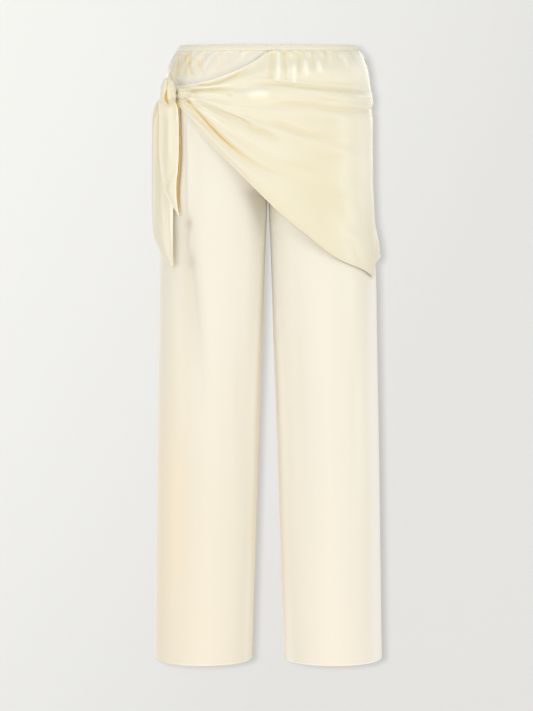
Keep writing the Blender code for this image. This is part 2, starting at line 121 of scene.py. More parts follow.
# The wrap: places across it as girth (quarters of the way round from the left side seam, the
# centre front being 1), and the heights and stand-out of its fold lines at those places
WRAP_FRONT_GIRTH = (1.66, 1.43, 1.20, 0.94, 0.75, 0.52, 0.31, 0.19, 0.15, 0.0)
WRAP_BACK_GIRTH = (-2.32, -2.14, -1.86, -1.36, -0.98, -0.64, -0.34, -0.20, -0.15, 0.0)
Fold = namedtuple("Fold", "name heights out_knot out_thigh out_middle out_side")
WRAP_FOLDS = [
    Fold("top_edge", (-73, -64, -43, -10.3, -10.3, -10.3, -10.3, -10.3, -10.3, -10.3), 4.0, 4.5, 2.0, 3.0),
    Fold("under_edge", (-75, -70, -50, -22, -22, -22, -22, -22, -22, -22), 4.0, 2.4, 2.2, 4.6),
    Fold("upper_roll", (-76.5, -73, -60, -44, -44, -48, -50, -51, -52, -52), 4.4, 6.0, 5.5, 6.8),
    Fold("pouch_fold", (-78, -75, -66, -66, -71, -77, -80, -81, -81, -81), 4.2, 6.0, 3.6, 8.6),
    Fold("band_top", (-80, -78, -75, -72, -78, -83, -87, -87.5, -87.5, -87.5), 3.6, 3.4, 7.4, 9.6),
    Fold("band", (-82, -85, -87, -87, -91, -97, -101, -101, -101, -101), 4.4, 8.0, 8.5, 8.8),
    Fold("band_foot", (-84, -91, -102, -103, -103, -111, -113, -112, -112, -112), 4.0, 6.4, 5.2, 5.0),
    Fold("below_band", (-86, -97, -109, -118, -123, -130, -134, -134, -134, -134), 4.6, 7.5, 7.2, 5.8),
    Fold("high_fold", (-87, -101, -118, -134, -149, -162, -173, -175, -176, -176), 4.0, 6.0, 3.8, 4.4),
    Fold("between", (-88.5, -103, -123, -147, -166, -185, -199, -203, -204, -204), 4.6, 6.5, 6.6, 3.8),
    Fold("low_fold", (-90, -105, -128, -161, -185, -212, -231, -237, -238, -239), 3.8, 3.0, 5.2, 3.0),
    Fold("belly", (-91.5, -116, -154, -192, -216, -243, -262, -270, -271, -272), 4.8, 8.0, 7.0, 3.0),
    Fold("deep_fold", (-93, -133, -185, -220, -240, -268, -290, -300, -300, -300), 3.0, 2.4, 3.6, 3.2),
    Fold("hem_roll", (-94, -147, -205, -253, -286, -323, -345, -356, -346, -338), 4.6, 7.0, 6.0, 3.2),
    Fold("hem", (-95, -161, -219, -284, -324, -369, -391, -405, -384, -368), 3.6, 3.0, 2.8, 2.2),
]
OUT_PLACES = (0, 1.5, 3.5, 7, 9)
SIDE_PLACE = 9.0

# The half at the back has its own hem, flatter folds away from the side, and by fold how far its
# upper lines are lowered near the knot and tucked in before the sewn part
BACK_HEM = (-95, -125, -172, -226, -270, -315, -349, -364, -368, -368)
BACK_FULLNESS = 0.55
BACK_FULL_FROM = 6.0
LOWERED = {"top_edge": 12.0, "under_edge": 10.0, "upper_roll": 7.0, "pouch_fold": 4.0, "band_top": 2.0}
TUCKED = {
    "top_edge": 2.6, "under_edge": 1.6, "upper_roll": 0.8, "pouch_fold": 1.0, "band_top": 0.8, "band": 1.6,
}

# Folds pressed into the back, each by its place among the fold lines, counted from the top edge.
# Gold above 0 is painted golden shade along the fold, and below 0 a painted highlight.
BackFold = namedtuple("BackFold", "line width gold depth")
BACK_FOLDS = [
    BackFold(2.0, 3.0, 0.30, 2.2),
    BackFold(6.0, 3.4, 0.34, 2.0),
    BackFold(8.2, 4.0, 0.30, 2.2),
    BackFold(10.0, 3.6, 0.5, 2.4),
    BackFold(12.0, 2.6, 0.9, 3.2),
    BackFold(4.9, 5.0, -0.3, -1.2),
    BackFold(11.0, 6.0, -0.2, -1.2),
]

# Ripples of the wrap near the side seam, by girth
Ripple = namedtuple("Ripple", "girth reach out top bottom")
RIPPLES = [
    Ripple(0.0, 0.085, 6.4, -300, -366),
    Ripple(0.15, 0.03, -3.0, -330, -384),
    Ripple(-0.22, 0.06, -2.0, -300, -366),
    Ripple(-0.42, 0.10, 4.0, -280, -360),
]

# Creases, listed one by one. A path is seen from the front, as (x, z). A depth above 0 is a trough and
# below 0 a ridge, gold is how far it warms (or, below 0, pales), fade_in and fade_out are the shares
# of the path over which it starts and ends, lip is the roll on its left as the path runs, and spread
# is how many times wider it is on its right.
# gold above 0 is painted golden shade along a trough, and below 0 a painted highlight along a ridge
Line = namedtuple("Line", "path depth width gold fade_in fade_out lip spread", defaults=(0, 1))
LINES = {}
LINES["wrap_front"] = [
    # the rolled upper edge of the wrap and the folds that leave the knot under it
    Line(((-22, -36), (-58, -54), (-84, -65), (-104, -70), (-132, -71)), 2.6, 2.0, 0.85, 0.35, 0.2),
    Line(((-20, -30), (-56, -47), (-84, -58), (-108, -64), (-136, -66)), -1.6, 3.2, -0.5, 0.3, 0.2),
    Line(((-136, -80), (-118, -79), (-78, -77), (-42, -75)), 2.2, 1.8, 0.85, 0.05, 0.5, 0.8),
    Line(((-136, -80), (-124, -83), (-110, -86)), 1.6, 1.8, 0.7, 0.05, 0.6),
    Line(((-138, -75), (-112, -73), (-70, -70), (-40, -68)), -1.6, 2.6, -0.5, 0.1, 0.5),
    Line(((-134, -88), (-104, -94), (-70, -98), (-30, -98)), 1.2, 3.0, 0.22, 0.1, 0.5, 0.6),
    Line(((-136, -92), (-98, -108), (-72, -119), (-45, -130), (-28, -143), (1, -154), (36, -174)),
         2.6, 3.4, 0.42, 0.1, 0.35, 1.6, 1.6),
    Line(((-138, -94), (-110, -112), (-80, -130), (-50, -142)), 1.2, 2.6, 0.3, 0.1, 0.6, 0.5),
    Line(((-14, -125), (30, -140), (74, -153), (132, -166)), 1.6, 4.0, 0.24, 0.3, 0.5, 1.4, 1.8),
    Line(((-142, -93), (-116, -122), (-86, -154), (-57, -180), (-28, -201), (7, -218), (50, -232)),
         3.4, 2.7, 0.9, 0.02, 0.7, 2.2, 1.4),
    Line(((-140, -88), (-105, -115), (-72, -146), (-40, -168)), -1.4, 4.5, -0.35, 0.1, 0.6),
    Line(((-147, -99), (-116, -132), (-84, -168), (-50, -198)), 1.0, 3.0, 0.3, 0.1, 0.6),
    # the dimple, and the folds above and under the band that runs to the left side
    Line(((-72, -82), (-66, -86), (-59, -89)), 1.8, 3.6, 0.55, 0.3, 0.3, 0.5),
    Line(((-52, -66), (1, -66), (47, -70), (106, -75), (175, -82)), 1.6, 2.4, 0.34, 0.3, 0.1, 2.0, 2.0),
    Line(((-30, -106), (30, -101), (74, -104), (117, -111), (178, -114)),
         1.2, 3.0, 0.28, 0.35, 0.02, 1.0, 1.8),
    Line(((-44, -86), (-12, -84), (10, -87)), -2.2, 9.0, -0.5, 0.4, 0.3),
    Line(((60, -92), (120, -97), (178, -103)), 0.7, 3.0, 0.16, 0.4, 0.1, 0.5),
    Line(((150, -88), (166, -89), (180, -90)), -0.8, 1.8, -0.5, 0.4, 0.05),
    Line(((174, -108), (181, -114)), 0.8, 2.2, 0.4, 0.3, 0.05),
    Line(((40, -128), (90, -132), (150, -136)), 0.9, 6.0, 0.08, 0.4, 0.4, 0.6),
    Line(((60, -186), (110, -196), (160, -198)), 0.8, 8.0, 0.05, 0.5, 0.5, 0.5),
    Line(((-6, -196), (48, -206), (110, -224)), 1.0, 8.0, 0.10, 0.5, 0.5, 0.6),
    Line(((90, -262), (130, -292), (168, -330)), 1.4, 9.0, 0.05, 0.5, 0.4, 0.8, 1.6),
    Line(((118, -330), (150, -352), (166, -386)), 1.2, 6.0, 0.07, 0.5, 0.2, 0.5),
    Line(((152, -384), (166, -391), (176, -397)), 1.2, 2.0, 0.9, 0.4, 0.05),
    # puffed gathers of the wrap under the band, from the centre front to the left side
    Line(((8, -12), (6, -38), (3, -67)), 3.0, 3.4, 0.4, 0.1, 0.3, 0, 1.6),
    Line(((18, -8), (18, -40), (16, -70)), -3.2, 4.8, -0.45, 0.1, 0.25),
    Line(((28, -12), (31, -62)), 2.6, 3.6, 0.4, 0.05, 0.4),
    Line(((45, -22), (45, -71)), -3.4, 5.4, -0.45, 0.4, 0.15),
    Line(((47, -9), (48, -26)), -1.6, 2.6, -0.3, 0.1, 0.5),
    Line(((54, -12), (55, -56)), 2.2, 3.2, 0.45, 0.05, 0.4),
    Line(((62, -20), (69, -60)), -3.0, 5.2, -0.45, 0.3, 0.3),
    Line(((76, -10), (81, -54)), 2.2, 3.6, 0.45, 0.05, 0.5),
    Line(((84, -22), (94, -54)), -2.4, 5.0, -0.4, 0.3, 0.4),
    Line(((98, -10), (102, -42)), 1.8, 3.4, 0.32, 0.05, 0.6),
    Line(((105, -8), (110, -30)), -1.8, 3.4, -0.4, 0.1, 0.6),
    Line(((118, -9), (126, -38)), 1.4, 3.4, 0.26, 0.05, 0.6),
    Line(((128, -9), (141, -46)), -1.4, 4.0, -0.35, 0.1, 0.6),
    Line(((142, -9), (158, -40)), 1.3, 3.4, 0.2, 0.05, 0.6),
]
LINES["left_leg_front"] = [
    # painted light just under the wrap's hem, lifting the shade that the hem casts, then creases down the
    # leg
    Line(((-4, -302), (40, -348), (90, -382), (140, -404), (176, -414)), 0, 8, -0.7, 0.05, 0.05),
    Line(((36, -300), (46, -480), (56, -700), (60, -960)), 2.0, 14.0, 0.02, 0.3, 0.4),
    Line(((150, -430), (154, -660), (158, -900)), 1.8, 13.0, 0.02, 0.4, 0.4),
    Line(((100, -520), (106, -760), (104, -980)), -1.4, 16.0, -0.1, 0.4, 0.4),
]
LINES["right_leg_front"] = [
    # painted light just under the wrap's hem and beside the tie's front end, lifting the shade they cast
    Line(((-140, -108), (-110, -156), (-60, -222), (-14, -272)), 0, 9, -0.5, 0.1, 0.02),
    Line(((-147, -100), (-145, -190), (-147, -285)), 0, 5, -0.8, 0.1, 0.1),
    # gathers and creases under the knot and down the thigh
    Line(((-158, -12), (-160, -40), (-166, -70)), 3.4, 3.4, 0.4, 0.1, 0.4),
    Line(((-151, -13), (-152, -60)), -1.2, 2.6, -0.2, 0.1, 0.5),
    Line(((-146, -13), (-147, -62)), 3.0, 3.2, 0.3, 0.1, 0.5),
    Line(((-137, -12), (-138, -32), (-128, -60)), 2.4, 3.2, 0.6, 0.1, 0.3),
    Line(((-131, -13), (-130, -34), (-119, -62)), -2.2, 2.8, -0.4, 0.1, 0.4),
    Line(((-126, -16), (-113, -56)), 2.6, 3.4, 0.45, 0.2, 0.35),
    Line(((-106, -13), (-100, -48)), -1.0, 3.4, -0.2, 0.1, 0.6),
    Line(((-86, -13), (-82, -56)), 1.2, 3.0, 0.14, 0.2, 0.5),
    Line(((-66, -13), (-64, -50)), -1.2, 2.8, -0.3, 0.2, 0.5),
    Line(((-42, -13), (-41, -40)), 1.2, 2.8, 0.14, 0.2, 0.5),
    Line(((-146, -262), (-147, -300), (-142, -345), (-133, -420), (-126, -500), (-119, -590),
          (-114, -700)), 3.8, 9.0, 0.0, 0.15, 0.5, 1.6, 3.0),
    Line(((-138, -118), (-137, -199), (-137, -300)), -2.4, 4.0, -0.35, 0.2, 0.1),
    Line(((-137, -301), (-136, -311)), 1.6, 4.4, 0.08, 0.4, 0.4),
    Line(((-138, -322), (-136, -368)), -2.4, 5.0, -0.55, 0.3, 0.4),
    Line(((-128, -130), (-122, -280)), 1.2, 6.0, 0.08, 0.4, 0.4),
    Line(((-60, -250), (-52, -420), (-44, -620), (-46, -900)), 2.2, 16.0, 0.02, 0.4, 0.4),
    Line(((-152, -640), (-156, -800), (-160, -1000)), 1.2, 14.0, 0.02, 0.4, 0.3),
    Line(((-173, -44), (-168, -60), (-163, -67)), 1.6, 2.2, 0.8, 0.2, 0.1),
    Line(((-164, -60), (-149, -71)), 1.4, 2.0, 0.7, 0.1, 0.2),
]
LINES["tie_loop"] = [
    # the folds that run from the loop to the hole of the knot
    Line(((-172.4, -62), (-173.6, -72), (-174.8, -84)), 0.8, 1.0, 0.5, 0.2, 0.02),
    Line(((-170.6, -60), (-165.6, -72), (-160, -84)), 1.1, 1.1, 0.5, 0.1, 0.1),
    Line(((-167, -62), (-163.4, -74), (-160.6, -90)), -0.9, 1.2, -0.4, 0.1, 0.1),
    Line(((-167, -74), (-163.6, -90), (-162.4, -106)), 0.9, 1.1, 0.35, 0.2, 0.2),
    Line(((-182, -66), (-184, -80), (-183, -100)), 0.6, 2.2, 0.16, 0.2, 0.4),
]
LINES["tie_tail_front"] = [
    Line(((-184, -100), (-184, -180), (-180, -226)), 1.0, 5.0, 0.08, 0.1, 0.3),
    Line(((-159, -97), (-161, -118), (-160, -146)), 1.2, 2.0, 0.3, 0.2, 0.5),
    Line(((-158, -206), (-168, -232), (-180, -252)), 1.5, 4.0, 0.16, 0.5, 0.1, 1.2, 1.8),
    Line(((-176, -108), (-178, -170), (-172, -220)), 1.0, 5.0, 0.06, 0.3, 0.5),
    Line(((-168, -120), (-167, -180), (-165, -215)), -1.2, 5.0, -0.25, 0.3, 0.4),
]
LINES["tie_tail_back"] = [
    Line(((-190.5, -104), (-191.5, -190), (-189, -222)), 1.6, 2.6, 0.45, 0.1, 0.3),
    Line(((-191, -98), (-195, -114), (-199.5, -129), (-201.6, -150), (-202, -183), (-202, -290)),
         1.2, 1.7, 0.85, 0.02, 0.75),
    Line(((-189, -104), (-196.5, -136), (-198.5, -183), (-198, -300), (-190, -350)),
         -0.8, 2.0, -0.4, 0.1, 0.3),
    Line(((-177, -258), (-174, -300), (-172, -334)), 1.2, 4.0, 0.34, 0.2, 0.5),
    Line(((-188, -170), (-187, -260), (-182, -340)), 1.3, 5.0, 0.12, 0.3, 0.3),
    Line(((-168, -240), (-168, -350)), -1.0, 3.0, -0.2, 0.3, 0.3),
]

# Colour of the satin by tone: -1 a painted highlight on a rolled edge, 0 the open cloth, and above 0
# painted golden shade, down to 1 at the bottom of a tight fold
LEG_TONES = (
    (-1.0, (0.94, 0.94, 0.88)),
    (0.0, (0.765, 0.74, 0.638)),
    (0.3, (0.85, 0.77, 0.60)),
    (0.6, (0.84, 0.69, 0.40)),
    (1.0, (0.62, 0.40, 0.10)),
)
WRAP_TONES = (
    (-1.0, (0.94, 0.95, 0.88)),
    (0.0, (0.765, 0.75, 0.645)),
    (0.3, (0.735, 0.705, 0.56)),
    (0.6, (0.78, 0.665, 0.39)),
    (1.0, (0.62, 0.40, 0.10)),
)
WRAP_TINT = (0.975, 0.945, 0.862)

# Painted shade: how much a millimetre of hollow warms and darkens the wrap's colour (a ridge pales it as a
# painted highlight)
CAVITY_PAINTED_SHADE = 0.03

# Broad soft patches of painted light and shade: a tone above 0 is painted warm shade, below 0 a
# painted highlight, and dim is painted shade, which darkens the colour towards the one below
PAINTED_SHADE_COLOUR = (0.80, 0.755, 0.69)
Patch = namedtuple("Patch", "x z reach_x reach_z tone dim", defaults=(0,))
PATCHES = {}
PATCHES["right_leg_front"] = [
    Patch(-156, -40, 20, 34, 0.12, 0.75),
    Patch(-90, -40, 60, 30, 0.10, 0.25),
    Patch(-150, -345, 16, 60, 0, 0.15),
    Patch(-140, -430, 20, 150, 0.06, 0.3),
    Patch(-137, -336, 5, 10, -0.7),
    Patch(-136, -376, 9, 12, 0, 0.5),
    Patch(-150, -800, 40, 240, 0.03, 0.12),
    Patch(-137, -309, 7, 10, 0, 0.8),
    Patch(-146, -130, 12, 60, -0.4),
    Patch(-146, -70, 12, 9, -0.9),
    Patch(-26, -280, 40, 90, -0.9),
    Patch(-168, -300, 8, 60, -0.6),
    Patch(-172, -700, 34, 300, 0.10),
    Patch(-100, -330, 34, 150, -0.12),
    Patch(-90, -700, 30, 220, -0.10),
]
PATCHES["left_leg_front"] = [
    Patch(16, -300, 30, 70, -0.7),
    Patch(130, -480, 60, 90, -0.22),
    Patch(40, -330, 44, 110, 0.10),
    Patch(110, -640, 50, 260, -0.10),
]
PATCHES["tie_tail_back"] = [
    Patch(-166, -300, 12, 60, -0.5),
]
PATCHES["wrap_front"] = [
    Patch(120, -200, 90, 120, 0.10),
    Patch(-110, -95, 40, 25, -0.3),
    Patch(-50, -100, 60, 45, -0.16),
    Patch(80, -300, 100, 110, 0.12),
    Patch(95, -45, 80, 28, -0.15),
    Patch(176, -200, 32, 150, -0.7),
    Patch(168, -36, 26, 34, -0.55),
]

# The elastic's rows: height, how far out, how far the picot edge dips between its dots, and tone, which
# paints shade along the band's top and bottom
Band = namedtuple("Band", "height out dip tone")
BAND_ROWS = [
    Band(0, -1.0, 1.2, 0.25),
    Band(-0.5, -0.7, 0.7, 0.55),
    Band(-1.0, -0.4, 0.3, 0.6),
    Band(-1.7, -0.5, 0, 0.5),
    Band(-2.6, -0.9, 0, 0.2),
    Band(-4, -0.3, 0, 0.06),
    Band(-6, 0, 0, 0.02),
    Band(-8, -0.1, 0, 0.04),
    Band(-9.6, -0.4, 0, 0.08),
    Band(-10.6, -1.0, 0, 0.2),
    Band(-11.4, -1.9, 0, 0.3),
]

# The hanging ends of the tie: their outer (o) and inner (i) edges by height, and how far the cloth
# between them bulges. The gold strip is the underside that shows along the front end's inner edge,
# set back and painted in deep golden shade.
End = namedtuple("End", "height ox oy ix iy bulge")
FRONT_TAIL = [
    End(-94, -172, -86.6, -160.0, -89.0, 0.3),
    End(-98, -188, -79, -157.0, -89.0, 0.3),
    End(-104, -188.5, -78, -152.5, -89.6, 0.5),
    End(-116, -188.5, -77, -152.2, -91, 2),
    End(-134, -188.5, -76, -151.6, -93, 3),
    End(-182, -188.7, -75, -150.6, -92, 4),
    End(-216, -186, -76, -152.4, -91, 3),
    End(-253, -179, -79, -155.0, -90, 2),
    End(-274, -168, -84, -154.6, -89, 1),
    End(-294, -155.5, -88, -153, -89.5, 0),
]
Strip = namedtuple("Strip", "height width")
GOLD_STRIP = [
    Strip(-94, 1.5), Strip(-100, 5.5), Strip(-106, 5.0), Strip(-114, 3.4), Strip(-130, 3.2),
    Strip(-182, 4.2), Strip(-230, 4.4), Strip(-263, 4.0), Strip(-286, 2.4), Strip(-294, 1.5),
]
BACK_TAIL = [
    End(-92, -176, -80, -161.5, -87.2, 0.3),
    End(-98, -192.5, -62, -161, -87, 0.4),
    End(-104, -196.5, -56, -161, -87, 0.5),
    End(-112, -199, -52, -161.5, -86, 1.5),
    End(-128, -202, -47, -162, -82.5, 2),
    End(-182, -203, -44, -162, -81, 3),
    End(-269, -203, -44, -164, -81, 4),
    End(-325, -201, -46, -165, -81, 3),
    End(-353, -191, -56, -165, -81, 2),
    End(-371, -180, -67, -165, -80.5, 1),
    End(-383, -168, -78, -165, -80.5, 0),
]

# The loop, seen from the front: its outline round its middle, and the line and half-width of its eye
LOOP_MIDDLE = (-172.5, -84.0)
Rim = namedtuple("Rim", "angle reach")
LOOP_RIM = [
    Rim(0, 13.3), Rim(44, 16.8), Rim(70, 23.5), Rim(90, 26.4), Rim(98, 27.0), Rim(114, 23.4),
    Rim(131, 19.2), Rim(160, 14.6), Rim(198, 15.3), Rim(222, 20.6), Rim(244, 27.0), Rim(262, 31.0),
    Rim(282, 28.5), Rim(302, 22.5), Rim(322, 17.0), Rim(360, 13.3),
]
Eye = namedtuple("Eye", "height x half")
LOOP_EYE = [
    Eye(-79, -174.6, 0.2), Eye(-82, -175.0, 1.0), Eye(-86, -175.6, 2.2), Eye(-91, -175.8, 3.1),
    Eye(-96, -174.8, 3.2), Eye(-100, -173.2, 2.4), Eye(-103, -171.6, 0.3),
]
LOOP_LIP, LOOP_BACK = -107.0, -90.0

# The knot, seen from the front: a fan of cloth round the hole that the loop comes out of
KNOT_HOLE = (-158.3, -82.7)
KNOT_RIM = [
    Rim(-180, 6.0), Rim(-120, 6.0), Rim(-95, 8.0), Rim(-65, 13.0), Rim(-50, 16.5), Rim(-22, 19), Rim(10, 19),
    Rim(35, 16), Rim(56, 13), Rim(80, 12.5), Rim(108, 15), Rim(130, 12), Rim(160, 7), Rim(180, 6.0),
]
KNOT_RISE = 7.0

# The backdrop's two greys, between which it paints a fall of light, the floor's grey, and the soft lights of
# the studio, which aim at its middle
PAPER_DIM, PAPER_BRIGHT = (0.684, 0.693, 0.68), (0.805, 0.818, 0.791)
FLOOR = (0.90, 0.90, 0.89)
STUDIO_MIDDLE = (0.0, 0.0, -0.55)
Light = namedtuple("Light", "name place size power colour")
LIGHTS = [
    Light("upper_left", (-2.6, -4.2, 1.6), 2.0, 48, (0.88, 0.97, 1.0)),
    Light("upper_right", (2.6, -4.2, 1.6), 2.0, 21, (1.0, 1.0, 0.85)),
    Light("front", (0.0, -5.3, 0.3), 1.2, 26, (0.80, 0.96, 1.0)),
    Light("low_front", (0.0, -4.0, -3.6), 2.0, 57, (1.0, 0.70, 0.42)),
    Light("left_side", (-4.2, -2.6, 0.0), 2.2, 28, (1.0, 1.0, 1.0)),
    Light("right_side", (4.2, -2.6, 0.0), 2.2, 46, (0.92, 0.96, 1.0)),
    Light("back_left", (-2.2, 4.4, 0.8), 2.2, 30, (1.0, 0.95, 0.88)),
    Light("back_right", (2.2, 4.4, 0.8), 2.2, 22, (1.0, 0.95, 0.88)),
]


def column(rows, name):
    """One named column of a table, as an array."""
    return np.array([getattr(row, name) for row in rows], float)


def smooth(at, places, values):
    """Values between a table's rows, on a curve that never overshoots them. Values may be columns."""
    places, values = np.asarray(places, float), np.asarray(values, float)
    if places[0] > places[-1]:
        places, values = places[::-1], values[::-1]
    wide = (slice(None),) + (None,) * (values.ndim - 1)
    step = np.diff(places)
    rise = np.diff(values, axis=0) / step[wide]
    slope = np.zeros(values.shape)
    product = rise[1:] * rise[:-1]
    total = np.where(product > 0, rise[1:] + rise[:-1], 1)
    slope[1:-1] = np.where(product > 0, 2 * product / total, 0)
    slope[0], slope[-1] = rise[0], rise[-1]
    at = np.clip(at, places[0], places[-1])
    i = np.clip(np.searchsorted(places, at) - 1, 0, len(step) - 1)
    t = (at - places[i]) / step[i]
    t, step = (t, step[i]) if values.ndim == 1 else (t[wide], step[i][wide])
    return (
        (1 + 2 * t) * (1 - t) ** 2 * values[i]
        + t * (1 - t) ** 2 * step * slope[i]
        + t * t * (3 - 2 * t) * values[i + 1]
        + t * t * (t - 1) * step * slope[i + 1]
    )


def look_up(rows, name, at, by="height"):
    """A table's column between its rows, at heights or at values of another column."""
    return smooth(at, column(rows, by), column(rows, name))


def fade(value, low, high):
    """0 at low and 1 at high, with soft ends."""
    t = np.clip((value - low) / (high - low), 0, 1)
    return t * t * (3 - 2 * t)


def bell(distance, reach, power=2):
    """1 at no distance and nearly 0 at twice the reach. A higher power has a flatter top."""
    return np.exp(-((distance / reach) ** power))


def arc(half_width, half_depth, squareness):
    """A quarter of a rounded outline in plan, from the side to the front."""
    turn = np.linspace(0, math.pi / 2, 160)
    power = 2 / squareness
    return np.column_stack([half_width * np.cos(turn) ** power, half_depth * np.sin(turn) ** power])


def along(path, shares):
    """Points at the given shares of a path's length."""
    length = np.concatenate([[0], np.cumsum(np.hypot(*np.diff(path, axis=0).T))])
    return np.column_stack([np.interp(shares, length / length[-1], path[:, i]) for i in (0, 1)])


def with_height(plan, height):
    """Points in space from points in plan and their heights."""
    return np.concatenate([plan, np.broadcast_to(height, plan.shape[:-1])[..., None]], axis=-1)


def hip_plan(height, per_quarter=48):
    """The whole outline of the hips at a height, by even girth from the left side round the front."""
    points = []
    for side, face in ((1, -1), (-1, -1), (-1, 1), (1, 1)):
        width = look_up(HIPS, "left" if side > 0 else "right", height)
        depth = look_up(HIPS, "back" if face > 0 else "front", height)
        shares = np.linspace(0, 1, per_quarter, endpoint=False)
        shares = shares if side * face < 0 else 1 - shares
        points.append(along(arc(width, depth, HIP_SQUARENESS), shares) * (side, face))
    return np.concatenate(points)


def hip_grids():
    """The hips' outline at each row of heights, and the direction out of the cloth at its points."""
    grid = np.array([hip_plan(-HIP_STEP * row) for row in range(HIP_ROWS)])
    tangent = np.roll(grid, -1, axis=1) - np.roll(grid, 1, axis=1)
    normal = np.stack([tangent[..., 1], -tangent[..., 0]], axis=-1)
    normal /= np.linalg.norm(normal, axis=-1, keepdims=True)
    return grid, normal * np.sign((normal * grid).sum(-1, keepdims=True))


HIP_GRID, HIP_NORMAL = hip_grids()


def sample(grid, girth, height):
    """Values of a grid of the hips at girths and heights."""
    across = girth % 4 / 4 * grid.shape[1]
    down = np.clip(-height / HIP_STEP, 0, grid.shape[0] - 1.001)
    i, j = down.astype(int), across.astype(int) % grid.shape[1]
    k = (j + 1) % grid.shape[1]
    s, t = (down - i)[..., None], (across - across.astype(int))[..., None]
    upper = grid[i, j] * (1 - t) + grid[i, k] * t
    lower = grid[i + 1, j] * (1 - t) + grid[i + 1, k] * t
    return upper * (1 - s) + lower * s


def hip_points(girth, height, out):
    """Points of the hips at girths and heights, moved out from the cloth."""
    normal = sample(HIP_NORMAL, girth, height)
    normal /= np.linalg.norm(normal, axis=-1, keepdims=True)
    return with_height(sample(HIP_GRID, girth, height) + normal * out[..., None], height)


def groove(height):
    """How far the centre seam has run in towards the crotch: 0 at the groove's top, 1 at the crotch."""
    return float(np.clip((GROOVE_RISE - CROTCH_DEPTH - height) / GROOVE_RISE, 0, 1))


def leg_quarter(side, face, height, shares):
    """A leg panel's points in plan, from its side seam to its centre seam or inseam."""
    sunk, low = groove(height), min(height, -CROTCH_DEPTH)
    blend = float(fade(sunk, 0, 1))
    edge, face_name = "left" if side > 0 else "right", "back" if face > 0 else "front"
    hip_width, leg_width = look_up(HIPS, edge, height), look_up(LEGS, edge, low)
    hip_depth, leg_depth = look_up(HIPS, face_name, height), look_up(LEGS, face_name, low)
    width = hip_width + (leg_width - hip_width) * blend
    depth = hip_depth + (leg_depth - hip_depth) * blend
    inner = look_up(LEGS, "inner", low)
    middle = (inner + (width - inner) / 2) * blend
    square = HIP_SQUARENESS + (LEG_SQUARENESS - HIP_SQUARENESS) * blend
    outer_arc = arc(width - middle, depth, square) + (middle, 0)
    outer_share = 1 - blend / 2
    points = along(outer_arc, np.clip(shares / outer_share, 0, 1))
    if sunk > 0:
        near_crotch = 1 - float(fade(-height, CROTCH_DEPTH, -CROTCH_SQUARE_DOWN_TO)) ** 0.7
        inner_square = LEG_SQUARENESS + (CROTCH_SQUARENESS - LEG_SQUARENESS) * near_crotch
        seam_depth = depth * math.sqrt(1 - sunk * sunk)
        inner_arc = arc(middle - inner, depth - seam_depth, inner_square)[::-1] * (-1, 1)
        past = shares > outer_share
        inner_shares = (shares[past] - outer_share) / (1 - outer_share)
        points[past] = along(inner_arc + (middle, seam_depth), inner_shares)
    return np.maximum(points, SEAM_GAP / 2) * (side, face)


def lie_on(grid, tone, x, z):
    """The y and tone of a sheet at places seen from the front, each from the sheet's nearest points."""
    margin, softness, batch = 9, 1.6, 300
    points = grid.reshape(-1, 3)
    near = (points[:, 0] > x.min() - margin) & (points[:, 0] < x.max() + margin)
    near &= (points[:, 2] > z.min() - margin) & (points[:, 2] < z.max() + margin)
    near &= points[:, 1] < -40
    points, tones = points[near], tone.reshape(-1)[near]
    places = np.column_stack([np.ravel(x), np.ravel(z)])
    y, warmth = np.zeros((2, len(places)))
    for start in range(0, len(places), batch):
        part = slice(start, start + batch)
        away = ((places[part, None, :] - points[None, :, (0, 2)]) ** 2).sum(-1)
        weight = 1 / (away + softness) ** 2.5
        weight /= weight.sum(1, keepdims=True)
        y[part], warmth[part] = weight @ points[:, 1], weight @ tones
    return y.reshape(x.shape), warmth.reshape(x.shape)


def line_field(points, line):
    """How far a crease line moves points out, and how much it warms them. Points are (x, z)."""
    nodes = np.array(line.path, float)
    places = np.arange(len(nodes))
    fine = smooth(np.linspace(0, places[-1], 12 * places[-1] + 1), places, nodes)
    start, run = fine[:-1], np.diff(fine, axis=0)
    length = np.hypot(*run.T)
    reach = 3.2 * line.width * max(line.spread, 1.4)
    low, high = fine.min(0) - reach, fine.max(0) + reach
    near = ((points > low) & (points < high)).all(-1)
    out, warm = np.zeros((2, len(points)))
    if not near.any():
        return out, warm
    offset = points[near][:, None, :] - start[None]
    t = np.clip((offset * run).sum(-1) / (length**2), 0, 1)
    away = offset - t[..., None] * run
    distance = np.hypot(away[..., 0], away[..., 1])
    nearest = distance.argmin(1)
    rows = np.arange(len(nearest))
    turned = run[nearest, 0] * away[rows, nearest, 1] - run[nearest, 1] * away[rows, nearest, 0]
    across = np.sign(turned) * distance[rows, nearest]
    passed = np.concatenate([[0], np.cumsum(length)])[nearest] + t[rows, nearest] * length[nearest]
    share = passed / length.sum()
    ends = fade(share, 0, line.fade_in) * fade(1 - share, 0, line.fade_out)
    width = np.where(across < 0, line.width * line.spread, line.width)
    roll = bell(across - 2.1 * line.width, 1.5 * line.width)
    out[near] = (line.lip * roll - line.depth * bell(across, width)) * ends
    warm[near] = line.gold * bell(across, 0.8 * width) * ends
    return out, warm


def creases_on(piece, points):
    """Stand-out, tone and dim that a piece's listed creases and patches give its grid points."""
    flat = points[..., (0, 2)].reshape(-1, 2)
    out, warm, pale, dim = np.zeros((4, len(flat)))
    for line in LINES.get(piece, ()):
        moved, tone = line_field(flat, line)
        out += moved
        # painted golden shade of the lines (warm) and painted highlight of their ridges (pale)
        warm, pale = np.maximum(warm, tone), np.minimum(pale, tone)
    for patch in PATCHES.get(piece, ()):
        away = (flat - (patch.x, patch.z)) / (patch.reach_x, patch.reach_z)
        strength = np.exp(-(away**2).sum(-1))
        # painted light and shade of the patches: their tone, and dim as painted shade
        warm += patch.tone * strength
        dim += patch.dim * strength
    shape = points.shape[:2]
    return out.reshape(shape), (warm + pale).reshape(shape), dim.reshape(shape)


